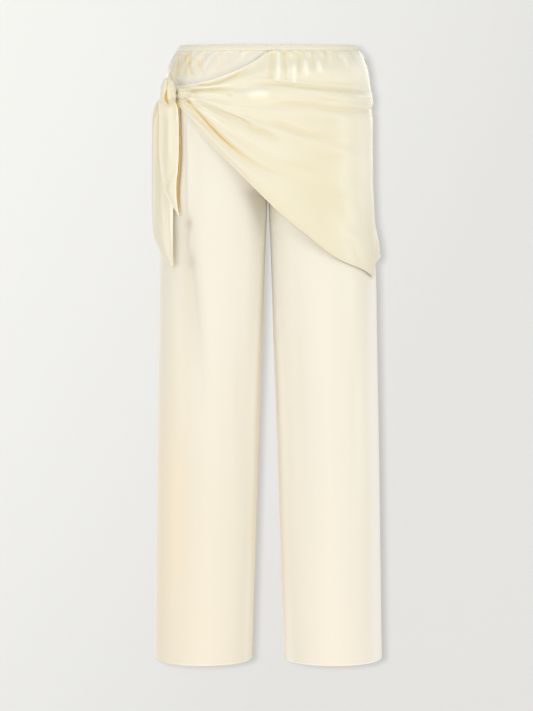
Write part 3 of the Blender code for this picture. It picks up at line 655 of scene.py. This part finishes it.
def gathers(across, below, seed):
    """Waist gathers by distance across and below the seam: fine ones that merge into broader ones."""
    fine_pitch, broad_pitch = 8.5, 24
    wander = 2.2 * np.sin(across / 19 + seed) + 1.4 * np.sin(across / 7.3 + 2.1 * seed)
    fine = np.sin(2 * math.pi * (across + wander) / fine_pitch)
    broad = np.sin(2 * math.pi * (across + 2.4 * wander + 0.05 * below) / broad_pitch + seed)
    fine_reach = 11 + 6 * np.sin(across / 11 + seed) + 3 * np.sin(across / 4.1)
    broad_reach = 50 + 15 * np.sin(across / 17 + 3 * seed)
    fine_strength = (0.65 + 0.35 * np.sin(across / 13 + 1.7 * seed)) * (1 - fade(below, 2, fine_reach))
    strength = (0.6 + 0.4 * np.sin(across / 37 + 2 * seed)) * (1 - fade(below, 10, broad_reach))
    start = fade(below, 0, 2.5)
    out = (0.85 * fine * fine_strength + 2.2 * broad * strength) * start
    # painted shade in the gathers' troughs and painted highlight on the broad ones' crests
    warm = (0.45 * np.maximum(-fine, 0) * fine_strength - 0.22 * broad * strength) * start
    return out, warm


def hollows(out):
    """How far each grid point lies behind its neighbours' mean, in millimetres: above 0 in a trough."""
    mean = out
    for axis, reach in enumerate((8, 9)):
        pad = [(0, 0), (0, 0)]
        pad[axis] = (reach + 1, reach)
        total = np.cumsum(np.pad(mean, pad, mode="edge"), axis=axis)
        span, count = 2 * reach + 1, out.shape[axis]
        mean = (np.take(total, range(span, span + count), axis) - np.take(total, range(count), axis)) / span
    return mean - out


def new_material(name, roughness, specular):
    """A material of one shader, and its node tree and shader."""
    material = bpy.data.materials.new(name)
    material.use_nodes = True
    shader = material.node_tree.nodes["Principled BSDF"]
    shader.inputs["Roughness"].default_value = roughness
    shader.inputs["Specular IOR Level"].default_value = specular
    return material, material.node_tree, shader


def feed(tree, node, inputs):
    """Gives inputs of a shader node a value, or links them to another node's output."""
    for name, given in inputs.items():
        if isinstance(given, bpy.types.NodeSocket):
            tree.links.new(given, node.inputs[name])
        else:
            node.inputs[name].default_value = given


def add_node(tree, kind, inputs):
    """A new shader node of a kind, with its inputs by name or number."""
    node = tree.nodes.new("ShaderNode" + kind)
    feed(tree, node, inputs)
    return node


def satin_material(name, tones, roughness=0.40, weave=0.05, tint=(1, 1, 1)):
    """Pale butter satin. A piece's tone paints golden shade in folds and highlights on edges, and dim paints
    shade over it.
    """
    material, tree, shader = new_material(name, roughness, 0.45)
    shader.inputs["Sheen Weight"].default_value = 0.6
    shader.inputs["Sheen Roughness"].default_value = 0.45
    shader.inputs["Sheen Tint"].default_value = (1.0, 0.96, 0.86, 1.0)
    tone, dim = add_node(tree, "Attribute", {}), add_node(tree, "Attribute", {})
    tone.attribute_name, dim.attribute_name = "tone", "dim"
    spread = add_node(tree, "MapRange", {"From Min": -1.0, "Value": tone.outputs["Fac"]})
    ramp = add_node(tree, "ValToRGB", {"Fac": spread.outputs["Result"]})
    ramp.color_ramp.interpolation = "EASE"
    stops = ramp.color_ramp.elements
    while len(stops) < len(tones):
        stops.new(0.5)
    for stop, (place, colour) in zip(stops, tones):
        stop.position = (place + 1) / 2
        stop.color = (*(np.array(colour) * tint), 1.0)
    # painted shade: dim mixes the colour darker by multiplying it
    shade = add_node(tree, "Mix", {})
    shade.data_type = "RGBA"
    shade.blend_type = "MULTIPLY"
    # the numbers of its sockets for a mix of colours
    factor, open_cloth, shaded_cloth, mixed = 0, 6, 7, 2
    colours = {factor: dim.outputs["Fac"], open_cloth: ramp.outputs["Color"], shaded_cloth: (*PAINTED_SHADE_COLOUR, 1.0)}
    feed(tree, shade, colours)
    place = add_node(tree, "TexCoord", {})
    grain = add_node(tree, "TexNoise", {"Vector": place.outputs["Object"], "Scale": 900.0, "Detail": 1.0})
    threads = {"Height": grain.outputs["Fac"], "Strength": weave, "Distance": 0.0002}
    bump = add_node(tree, "Bump", threads)
    feed(tree, shader, {"Base Color": shade.outputs[mixed], "Normal": bump.outputs["Normal"]})
    return material


def sheet_object(node, grid, tone, material, flip=False, closed=False, wall=SHELL, dim=0):
    """A node's cloth sheet from a grid of points: a thin wall with its tone and dim as attributes."""
    name = "cloth_" + node
    rows, columns = grid.shape[:2]
    number = np.arange(rows * columns).reshape(rows, columns)
    if closed:
        number = np.column_stack([number, number[:, 0]])
    corners = [number[:-1, :-1], number[:-1, 1:], number[1:, 1:], number[1:, :-1]]
    faces = np.stack(corners[::-1] if flip else corners, axis=-1).reshape(-1, 4)
    mesh = bpy.data.meshes.new(name)
    mesh.from_pydata((grid.reshape(-1, 3) * MM).tolist(), [], faces.tolist())
    for key, values in (("tone", tone), ("dim", dim)):
        values = np.broadcast_to(values, grid.shape[:2]).astype(np.float32).ravel()
        mesh.attributes.new(key, "FLOAT", "POINT").data.foreach_set("value", values)
    mesh.materials.append(material)
    mesh.shade_smooth()
    piece = bpy.data.objects.new(name, mesh)
    bpy.context.scene.collection.objects.link(piece)
    solid = piece.modifiers.new("wall", "SOLIDIFY")
    solid.thickness = wall * MM
    solid.offset = -1
    return piece


def dress(piece, node, grid, closed=False):
    """Puts a cloth piece in place of its CAD node, hides the node and works out the sheet's area from its
    own lengths.
    """
    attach(piece, "root")
    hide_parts(node)
    across, down = np.diff(grid, axis=1), np.diff(grid, axis=0)
    if closed:
        across = np.concatenate([across, (grid[:, :1] - grid[:, -1:])], axis=1)
    edge_a, edge_b = grid[:-1, 1:] - grid[:-1, :-1], grid[1:, :-1] - grid[:-1, :-1]
    area = np.linalg.norm(np.cross(edge_a, edge_b), axis=-1).sum() * MM * MM
    if closed:
        area *= grid.shape[1] / (grid.shape[1] - 1)


def leg_glow(side, face, h, from_side, from_inner):
    """A leg's painted light and shade, as tone and dim: a painted golden glow along the inseam, painted
    highlights beside its seams and by the crotch, and on the right leg painted warm shade and dim
    low down, most by the outer seam.
    """
    below_crotch = 1 - fade(h, -CROTCH_DEPTH - 60, -CROTCH_DEPTH + 10)
    low = 1 - fade(h, -900, -420)
    edge_gold, broad_gold = (0.78, 0.14) if side < 0 else (0.68, 0.07)
    tone = below_crotch * edge_gold * bell(from_inner, 24) + low * broad_gold * bell(from_inner, 42)
    tone = tone - 0.6 * below_crotch * bell(from_inner - 40, 22)
    tone = tone - 0.6 * bell(h + 280, 75) * bell(from_inner, 40)
    if side < 0:
        return tone + low * (0.20 * bell(from_side, 60) + 0.07), 0.12 * low
    tone = tone - 0.25 * below_crotch * bell(from_side, 60)
    if face < 0:
        tone = tone - 0.5 * below_crotch * bell(from_side - 42, 27)
    return tone, 0


def leg_panel(name, side, face, seed, material):
    """One leg panel with its waist gathers, creases, seam puckers and rolled hem."""
    top, hem_top = -BAND_HEIGHT - PANEL_DROP, -LENGTH + 12
    heights = np.concatenate([
        np.linspace(top, -72, 50)[:-1],
        np.linspace(-72, -260, 48)[:-1],
        np.linspace(-260, hem_top, 120)[:-1],
        hem_top - np.linspace(0, 12, 17),
    ])
    even = np.linspace(0, 1, 168 if face < 0 else 114)
    shares = even - 0.07 * np.sin(2 * math.pi * even)
    plan = np.array([leg_quarter(side, face, height, shares) for height in heights])
    tangent = np.gradient(plan, axis=1)
    outward = np.stack([tangent[..., 1], -tangent[..., 0]], axis=-1) * side * face
    outward /= np.linalg.norm(outward, axis=-1, keepdims=True)
    girth = np.linalg.norm(np.diff(plan, axis=1), axis=-1).sum(1)[:, None]
    h, s = heights[:, None], shares[None, :]
    from_side, from_inner = s * girth, (1 - s) * girth
    grid = with_height(plan, h)
    out, warm, dim = creases_on(name, grid)

    gathered, gather_tone = gathers(from_side, top - h, seed)
    out = out + gathered - 0.6 * fade(top - h, 0, 4) * (1 - fade(top - h, 20, 60))
    warm = warm + gather_tone
    for row in CREASES:
        if row.panel == name:
            down = np.clip((row.top - h) / (row.top - row.bottom), 0, 1)
            centre = row.start + (row.end - row.start) * down
            trough = bell(s - centre, row.reach) * np.sin(math.pi * down) ** 2
            out = out - row.depth * trough
            # painted golden shade in the crease's trough
            warm = np.maximum(warm, 0.008 * row.depth * trough)
    if side < 0:
        out = out - 3.2 * bell(h + 38, 17) * bell(from_side, 45)
    pucker = 1 + 0.3 * np.sin(h / 7.0 + seed) * np.sin(h / 2.9)
    for from_seam in (from_side, from_inner):
        out = out - 0.75 * bell(from_seam, 1.3) * pucker + 0.25 * bell(from_seam - 3.5, 2.2)
    # the leg's painted glow, highlights and shade by its seams: tone, and dim as painted shade
    glow, painted_leg_shade = leg_glow(side, face, h, from_side, from_inner)

    above_hem = h + LENGTH
    hem = bell(above_hem, 1.6, 4)
    out = out + 0.45 * hem - 0.35 * bell(above_hem - 3.2, 0.9)
    # painted highlight on the rolled hem and painted shade in the groove just above it
    tone = warm + glow - 0.5 * hem + 0.10 * bell(above_hem - 3.2, 1.2)
    grid[..., :2] += outward * out[..., None]
    grid[..., :2] = np.maximum(grid[..., :2] * (side, face), SEAM_GAP / 2) * (side, face)
    piece = sheet_object(name, grid, tone, material, flip=side * face > 0, dim=dim + painted_leg_shade)
    dress(piece, name, grid)


def ripple(girth, height):
    """How far the ripples of the hem move the wrap out."""
    moved = np.zeros(height.shape)
    for row in RIPPLES:
        moved += row.out * bell(girth - row.girth, row.reach) * (1 - fade(height, row.bottom, row.top))
    return moved


def wrap_lines(name, hem, fullness, columns):
    """Height and stand-out of the wrap's fold lines, at columns from the knot to the side seam."""
    top, full_hem = np.array(WRAP_FOLDS[0].heights), np.array(WRAP_FOLDS[-1].heights)
    reach = (np.array(hem) - top) / (full_hem - top)
    full = fullness + (1 - fullness) * fade(columns, BACK_FULL_FROM, SIDE_PLACE)
    heights, outs = [], []
    for fold in WRAP_FOLDS:
        height = smooth(columns, np.arange(len(hem)), top + (np.array(fold.heights) - top) * reach)
        near_side = (fold.out_middle + fold.out_side) / 2
        by_place = (fold.out_knot, fold.out_thigh, fold.out_middle, near_side, fold.out_side)
        out = SEATED + (smooth(columns, OUT_PLACES, by_place) - SEATED) * full
        if name == "wrap_back":
            between = fade(columns, 0.2, 1.0) * (1 - fade(columns, 1.9, 2.8))
            height = height - LOWERED.get(fold.name, 0) * between
            out = out - TUCKED.get(fold.name, 0) * (1 - fade(columns, 2.6, 3.2))
        heights.append(height)
        outs.append(out)
    return np.array(heights), np.array(outs)


def wrap(name, girths, hem, fullness, material):
    """A half of the wrap: folds drawn to the knot, gathers under the band and a rolled free edge."""
    front = name == "wrap_front"
    columns = np.concatenate([
        np.linspace(0, 3, 104 if front else 64)[:-1],
        np.linspace(3, 7, 94)[:-1],
        np.linspace(7, SIDE_PLACE, 40),
    ])
    girth = smooth(columns, np.arange(len(girths)), girths)
    girth[-1] = math.copysign(0.0004, girths[0])
    line_heights, line_outs = wrap_lines(name, hem, fullness, columns)
    last = len(WRAP_FOLDS) - 1
    lines = np.arange(last + 1)
    near_hem = last - np.array([0.38, 0.28, 0.2, 0.14, 0.1, 0.07, 0.045, 0.02, 0])
    at = np.concatenate([[0, 0.06, 0.12, 0.2, 0.3, 0.4], np.linspace(0.5, last - 0.5, 150), near_hem])
    h, out = smooth(at, lines, line_heights), smooth(at, lines, line_outs)
    g, c = np.broadcast_to(girth, h.shape), np.broadcast_to(columns, h.shape)
    out = out + ripple(g, h)
    moved, warm, dim = creases_on(name, hip_points(g, h, out))

    sewn = fade(c, 3.0, 3.4)
    seam_depth = -BAND_HEIGHT - h
    gathered, gather_tone = gathers((girth[0] - g) * WAIST_QUARTER, seam_depth, 0.9)
    if front:
        short = fade(seam_depth, 0, 2) * (1 - fade(seam_depth, 6, 15))
        moved = moved + sewn * gathered * short
        warm = warm + sewn * gather_tone * short
    else:
        puff = fade(seam_depth, 0, 5) * (1 - fade(seam_depth, 12, 40))
        moved = moved + sewn * (1.7 * gathered + puff)
        warm = warm + sewn * 1.5 * gather_tone
        drawn = 1 - 0.75 * fade(c, 1.0, 4.5)
        for fold in BACK_FOLDS:
            line = smooth(np.array([fold.line]), lines, line_heights)[0]
            away = (h - line) / fold.width
            moved = moved + fold.depth * (0.5 * bell(away - 2.1, 1.5) - bell(away, 1)) * drawn
            # painted golden shade along each back fold, and a painted highlight along those whose gold is
            # below 0
            warm = warm + fold.gold * bell(away, 0.8) * drawn**2

    at_knot = 1 - fade(c, 0.0, 1.1)
    bunch = np.sin(at * 2 * math.pi * 0.93)[:, None]
    moved = moved + at_knot * 0.9 * bunch - 0.5 * bell(np.abs(g) * HIP_QUARTER, 1.4)
    # painted warm shade at the knot, most in the troughs of the bunched cloth
    warm = warm + at_knot * (0.16 + 0.2 * np.maximum(-bunch, 0))

    from_hem = h - h[-1]
    from_top = (h[0] - h) * (1 - sewn) + 99 * sewn
    hem_bead, top_bead = bell(from_hem, 1.7, 4), bell(from_top, 1.8, 4)
    moved = moved + 0.7 * hem_bead + 0.8 * top_bead - 0.4 * bell(from_hem - 3.4, 1.0)
    # painted highlight on the rolled hem and top edge, and painted shade in the groove just inside the hem
    tone = warm - 0.4 * hem_bead - 0.5 * top_bead + 0.12 * bell(from_hem - 3.4, 1.4)

    total = out + moved
    # painted shade in the hollows and painted highlight on the ridges
    tone = tone + np.clip(CAVITY_PAINTED_SHADE * hollows(total), -0.35, 0.5)
    total = LEAST_STAND + np.logaddexp(0, (total - LEAST_STAND) * 2.2) / 2.2
    grid = hip_points(g, h, total)
    flip = girths[0] < 0
    piece = sheet_object(name, grid[:, ::-1], tone[:, ::-1], material, flip=flip, dim=dim[:, ::-1])
    dress(piece, name, grid)
    return grid, tone


def waistband(material):
    """The elastic: a narrow band with fine ribs that laps the gathers, and a picot edge along its top."""
    count, picots, ribs_round = 1110, 138, 185
    height, out, dip, tone = (column(BAND_ROWS, name)[:, None] for name in Band._fields)
    h = np.broadcast_to(height, (len(BAND_ROWS), count))
    g = np.broadcast_to(-4 * np.arange(count) / count, h.shape)
    turn = 2 * math.pi * np.arange(count) / count
    ribs = np.sin(turn * ribs_round + 2.2 * np.sin(turn * 7)) * np.sin(math.pi * h / height[-1])
    grid = hip_points(g, h, BAND_OUT + out + 0.3 * ribs)
    dot = (0.5 + 0.5 * np.cos(turn * picots)) ** 1.5
    grid[..., 2] -= dip * (1 - dot)
    # painted shade in the dips between the picot dots, and painted highlight on the ribs' crests with
    # painted shade between them
    tone = tone + 0.3 * dip * (1 - dot) - 0.10 * ribs
    piece = sheet_object("waistband", grid, tone, material, flip=True, closed=True, wall=1.2)
    dress(piece, "waistband", grid, closed=True)


def tie_loop(material, tail, tail_tone):
    """The loop: a fold round a narrow eye, closed behind, whose foot runs on into the hanging end."""
    turn = np.linspace(0, 2 * math.pi, 132, endpoint=False)[None, :]
    inner = np.linspace(1, 0.15, 7)[:, None]
    outer = np.linspace(0, 1, 44)[:, None]
    behind = np.linspace(0.1, 0.9, 8)[:, None]
    top, bottom = LOOP_EYE[0].height, LOOP_EYE[-1].height
    middle_x, middle_z = LOOP_MIDDLE
    eye_z = (top + bottom) / 2 + (top - bottom) / 2 * np.sin(turn)
    eye_line = look_up(LOOP_EYE, "x", eye_z)
    eye_x = eye_line + look_up(LOOP_EYE, "half", eye_z) * np.cos(turn)
    reach = look_up(LOOP_RIM, "reach", np.degrees(turn), by="angle")
    rim_x, rim_z = middle_x + reach * np.cos(turn), middle_z + reach * np.sin(turn)
    low, high = np.maximum(-np.sin(turn), 0), np.maximum(np.sin(turn), 0)
    swell = np.sin(outer * math.pi / 2)
    x, z = eye_x + (rim_x - eye_x) * swell, eye_z + (rim_z - eye_z) * swell

    tail_y, tail_warmth = lie_on(tail, tail_tone, x, z)
    foot = fade(low, 0.3, 0.8)
    lip = LOOP_LIP + 11.0 * low**2 + 2.5 * high
    round_edge = LOOP_BACK + (lip - LOOP_BACK) * (1 - outer**1.5) ** 0.9
    flow = np.minimum(tail_y - 0.45, LOOP_BACK + 16) + (lip - tail_y[:1]) * (1 - swell) ** 2.6
    y = round_edge * (1 - foot) + flow * foot + 1.2 * bell(outer, 0.08)
    inside = np.sin(math.pi * outer)
    crease = bell(x + 172.7, 1.1) * fade(z, -82, -74)
    moved, folded = creases_on("tie_loop", np.stack([x, y, z], axis=-1))[:2]
    y = y + 1.6 * crease * inside - moved * fade(inside, 0, 0.3)

    pouch_x = eye_line + (eye_x - eye_line) * (1 - inner)
    pouch = np.stack([pouch_x, lip + 0.8 + 1.8 * inner**0.8, eye_z + 0 * inner], axis=-1)
    front = np.stack([x, y, z], axis=-1)
    closing_x, closing_z = rim_x + (middle_x - rim_x) * behind, rim_z + (middle_z - rim_z) * behind
    closing = np.stack([closing_x, y[-1:] + 0.6 + 3 * behind * (1 - foot), closing_z], axis=-1)
    grid = np.concatenate([pouch, front, closing])
    tip = bell(x + 176, 2.4) * fade(z, -63, -58)
    glow = bell(x + 176.5, 4.5) * fade(z, -100, -84) * (1 - fade(z, -70, -60))
    # painted light and shade: golden shade at the eye's edge, in the crease, at the top tip and along the
    # folds, a painted warm glow in the loop's left lobe, deep painted shade inside the eye, and the end's
    # own painted tone carried onto the foot
    own = 0.6 * bell(outer, 0.07) + 0.35 * crease + 0.4 * tip + 0.22 * glow - 0.06 + folded
    tone = np.concatenate([
        0.85 + 0.1 * inner + 0 * turn,
        own + (tail_warmth - own) * foot * fade(outer, 0.35, 0.95),
        0.3 + 0 * behind + 0 * turn,
    ])
    piece = sheet_object("tie_loop", grid, tone, material, flip=True, closed=True, wall=0.4)
    dress(piece, "tie_loop", grid, closed=True)


def hanging_end(name, table, material, strip=None):
    """A hanging end of the tie: cloth between its two edges, with its folds and any strip of underside."""
    top, bottom = table[0].height, table[-1].height
    heights = np.concatenate([np.linspace(top, bottom + 6, 110)[:-1], bottom + 6 - np.linspace(0, 6, 8)])
    even = np.linspace(0, 1, 61)[None, :]
    share = 0.3 * (1 - np.cos(math.pi * even)) + 0.4 * even
    edge = {key: look_up(table, key, heights[:, None]) for key in End._fields[1:]}
    run = np.stack([edge["ix"] - edge["ox"], edge["iy"] - edge["oy"]], axis=-1)
    span = np.linalg.norm(run, axis=-1)
    outward = np.stack([run[..., 1], -run[..., 0]], axis=-1) / span[..., None]
    plan = np.stack([edge["ox"], edge["oy"]], axis=-1) + run * share[..., None]
    h = np.broadcast_to(heights[:, None], plan.shape[:2])
    moved, tone = creases_on(name, with_height(plan, h))[:2]
    lift = edge["bulge"] * (np.sin(math.pi * share) - 0.35 * np.sin(3 * math.pi * share)) + moved
    from_outer, from_inner = share * span, (1 - share) * span
    bead = bell(from_inner, 1.4, 4) + bell(from_outer, 1.4, 4) + bell(h - bottom, 2)
    # painted highlight on the rolled edges and the hem
    tone = tone - 0.5 * np.clip(bead, 0, 1)
    plan = plan + outward * lift[..., None]
    if strip:
        width = look_up(strip, "width", heights[:, None])
        inside = fade(width - from_inner, -0.35, 0.35)
        plan[..., 1] += 3.2 * inside
        rim = bell(from_inner - width - 0.9, 0.8) * (1 - inside)
        # painted deep golden shade on the set-back strip, and a painted highlight on the rim beside it
        tone = tone * (1 - inside) + inside - 0.8 * rim
    grid = with_height(plan, h)
    piece = sheet_object(name, grid, tone, material)
    dress(piece, name, grid)
    return grid, tone


def knot(material, wrapped, wrapped_tone):
    """The knot: gathers fan out of a deep hole, over a low lump, and run on into the wrap's folds."""
    turn = np.linspace(-math.pi, math.pi, 150, endpoint=False)[None, :]
    share = np.linspace(0.015, 1, 56)[:, None]
    rear_share = np.array([0.85, 0.5, 0.1])[:, None]
    reach = look_up(KNOT_RIM, "reach", np.degrees(turn), by="angle")
    hole_x, hole_z = KNOT_HOLE
    run_x, run_z = reach * np.cos(turn), reach * np.sin(turn)
    x, z = hole_x + share * run_x, hole_z + share * run_z
    from_hole = share * reach
    base, wrap_warmth = lie_on(wrapped, wrapped_tone, x, z)
    rise = KNOT_RISE * (1 - bell(from_hole, 3.2)) * (1 - share**1.3) ** 1.6
    fan = np.cos(13 * turn + 1.6 * np.sin(2 * turn)) * fade(from_hole, 1.5, 6) * (1 - fade(share, 0.5, 1))
    hole = bell(x - hole_x, 1.6) * bell(z - hole_z, 3.6)
    y = base - 0.5 + 1.7 * fade(share, 0.7, 1) - rise - 0.55 * fan + 3.0 * hole
    front = np.stack([x, y, z], axis=-1)
    nearest = np.interp(rear_share[:, 0], share[:, 0], np.arange(len(share))).astype(int)
    rear = np.stack([hole_x + rear_share * run_x, base[nearest] + 1.6, hole_z + rear_share * run_z], axis=-1)
    grid = np.concatenate([front, rear])
    # painted light and shade: golden shade near the hole and in the fan's troughs, painted highlight on its
    # crests and just above the hole, dark painted shade in the hole, and the wrap's painted tone carried on
    # towards the rim
    own = 0.22 * bell(from_hole, 9) + 0.14 * np.clip(-fan, 0, 1) - 0.16 * np.clip(fan, 0, 1) + 0.8 * hole
    own = own - 0.5 * bell(np.degrees(turn) - 86, 16) * bell(from_hole - 7.5, 3)
    front_tone = own + (wrap_warmth - own) * fade(share, 0.45, 0.95)
    tone = np.concatenate([front_tone, np.full(rear.shape[:2], 0.3)])
    piece = sheet_object("knot", grid, tone, material, closed=True, wall=0.3)
    dress(piece, "knot", grid, closed=True)


def area_light(name, place, size, power, colour, target=STUDIO_MIDDLE):
    """A round light that aims at a point and doesn't show itself."""
    data = bpy.data.lights.new(name, "AREA")
    data.shape = "DISK"
    data.size = size
    data.energy = power
    data.color = colour
    light = bpy.data.objects.new(name, data)
    light.location = place
    light.rotation_euler = (Vector(target) - Vector(place)).to_track_quat("-Z", "Y").to_euler()
    light.visible_camera = False
    bpy.context.scene.collection.objects.link(light)
    return light


def paper_material(name, dim, bright):
    """Matt paper with a painted fall of light: a little lighter at the upper left than at the lower right.
    """
    paper, tree, shader = new_material(name, 1.0, 0.0)
    place = add_node(tree, "TexCoord", {})
    split = add_node(tree, "SeparateXYZ", {"Vector": place.outputs["Object"]})
    drift = add_node(tree, "Math", {0: split.outputs["Z"], 1: -0.45, 2: split.outputs["X"]})
    drift.operation = "MULTIPLY_ADD"
    spread = add_node(tree, "MapRange", {"Value": drift.outputs["Value"], "From Min": 1.2, "From Max": -1.4})
    ramp = add_node(tree, "ValToRGB", {"Fac": spread.outputs["Result"]})
    ramp.color_ramp.elements[0].color = (*dim, 1.0)
    ramp.color_ramp.elements[1].color = (*bright, 1.0)
    feed(tree, shader, {"Base Color": ramp.outputs["Color"]})
    return paper


def studio():
    """Pale backdrop far behind and below, soft light from all sides, and a soft shadow on the backdrop."""
    wall_y, floor_z, half, top_z = 7.6, -8.0, 16.0, 9.0
    corners = [(-half, wall_y, top_z), (half, wall_y, top_z), (half, wall_y, floor_z),
               (-half, wall_y, floor_z), (-half, -half, floor_z), (half, -half, floor_z)]
    mesh = bpy.data.meshes.new("backdrop")
    mesh.from_pydata(corners, [], [(0, 1, 2, 3), (3, 2, 5, 4)])
    mesh.materials.append(paper_material("pale_paper", PAPER_DIM, PAPER_BRIGHT))
    mesh.materials.append(paper_material("pale_floor", FLOOR, FLOOR))
    mesh.polygons[1].material_index = 1
    backdrop = bpy.data.objects.new("backdrop", mesh)
    bpy.context.scene.collection.objects.link(backdrop)

    world = bpy.data.worlds.new("soft_room")
    bpy.context.scene.world = world
    world.use_nodes = True
    sky = world.node_tree.nodes["Background"]
    sky.inputs["Color"].default_value = (1.0, 0.97, 0.98, 1.0)
    sky.inputs["Strength"].default_value = 0.67
    for light in LIGHTS:
        area_light(*light)

    # as far off as the camera, so that the shadow is shifted by the same amount all over
    place, white, aim = (-0.0178, -4.981, -0.1062), (1.0, 1.0, 1.0), (0.0, wall_y, -0.65)
    shadow = area_light("shadow_maker", place, 0.026, 530, white, aim)
    only = bpy.data.collections.new("backdrop_only")
    only.objects.link(backdrop)
    shadow.light_linking.receiver_collection = only


def camera():
    """The photograph's view: from the front, 5 m away, 5 degrees above."""
    distance, above = 5.0, math.radians(5)
    aim = Vector((-0.00266, 0.0, -0.546))
    data = bpy.data.cameras.new("camera")
    data.sensor_width = 36.0
    data.sensor_fit = "AUTO"
    data.lens = 142.9
    eye = bpy.data.objects.new("camera", data)
    eye.location = aim + Vector((0, -math.cos(above), math.sin(above))) * distance
    eye.rotation_euler = (aim - eye.location).to_track_quat("-Z", "Y").to_euler()
    bpy.context.scene.collection.objects.link(eye)
    bpy.context.scene.camera = eye


def main():
    """Builds the trousers, the studio and the camera."""
    satin = satin_material("satin", LEG_TONES)
    wrap_satin = satin_material("wrap_satin", WRAP_TONES, roughness=0.36, tint=WRAP_TINT)
    elastic = satin_material("elastic", WRAP_TONES, roughness=0.6, weave=0.15, tint=(1, 0.98, 0.93))
    leg_panel("right_leg_front", -1, -1, 0.3, satin)
    leg_panel("right_leg_back", -1, 1, 1.7, satin)
    leg_panel("left_leg_front", 1, -1, 2.9, satin)
    leg_panel("left_leg_back", 1, 1, 4.2, satin)
    waistband(elastic)
    wrapped = wrap("wrap_front", WRAP_FRONT_GIRTH, WRAP_FOLDS[-1].heights, 1.0, wrap_satin)
    wrap("wrap_back", WRAP_BACK_GIRTH, BACK_HEM, BACK_FULLNESS, wrap_satin)
    knot(wrap_satin, *wrapped)
    tail = hanging_end("tie_tail_front", FRONT_TAIL, wrap_satin, GOLD_STRIP)
    hanging_end("tie_tail_back", BACK_TAIL, wrap_satin)
    tie_loop(wrap_satin, *tail)
    studio()
    camera()
    bpy.context.scene.view_settings.view_transform = "Standard"
    bpy.context.scene.view_settings.look = "None"


main()
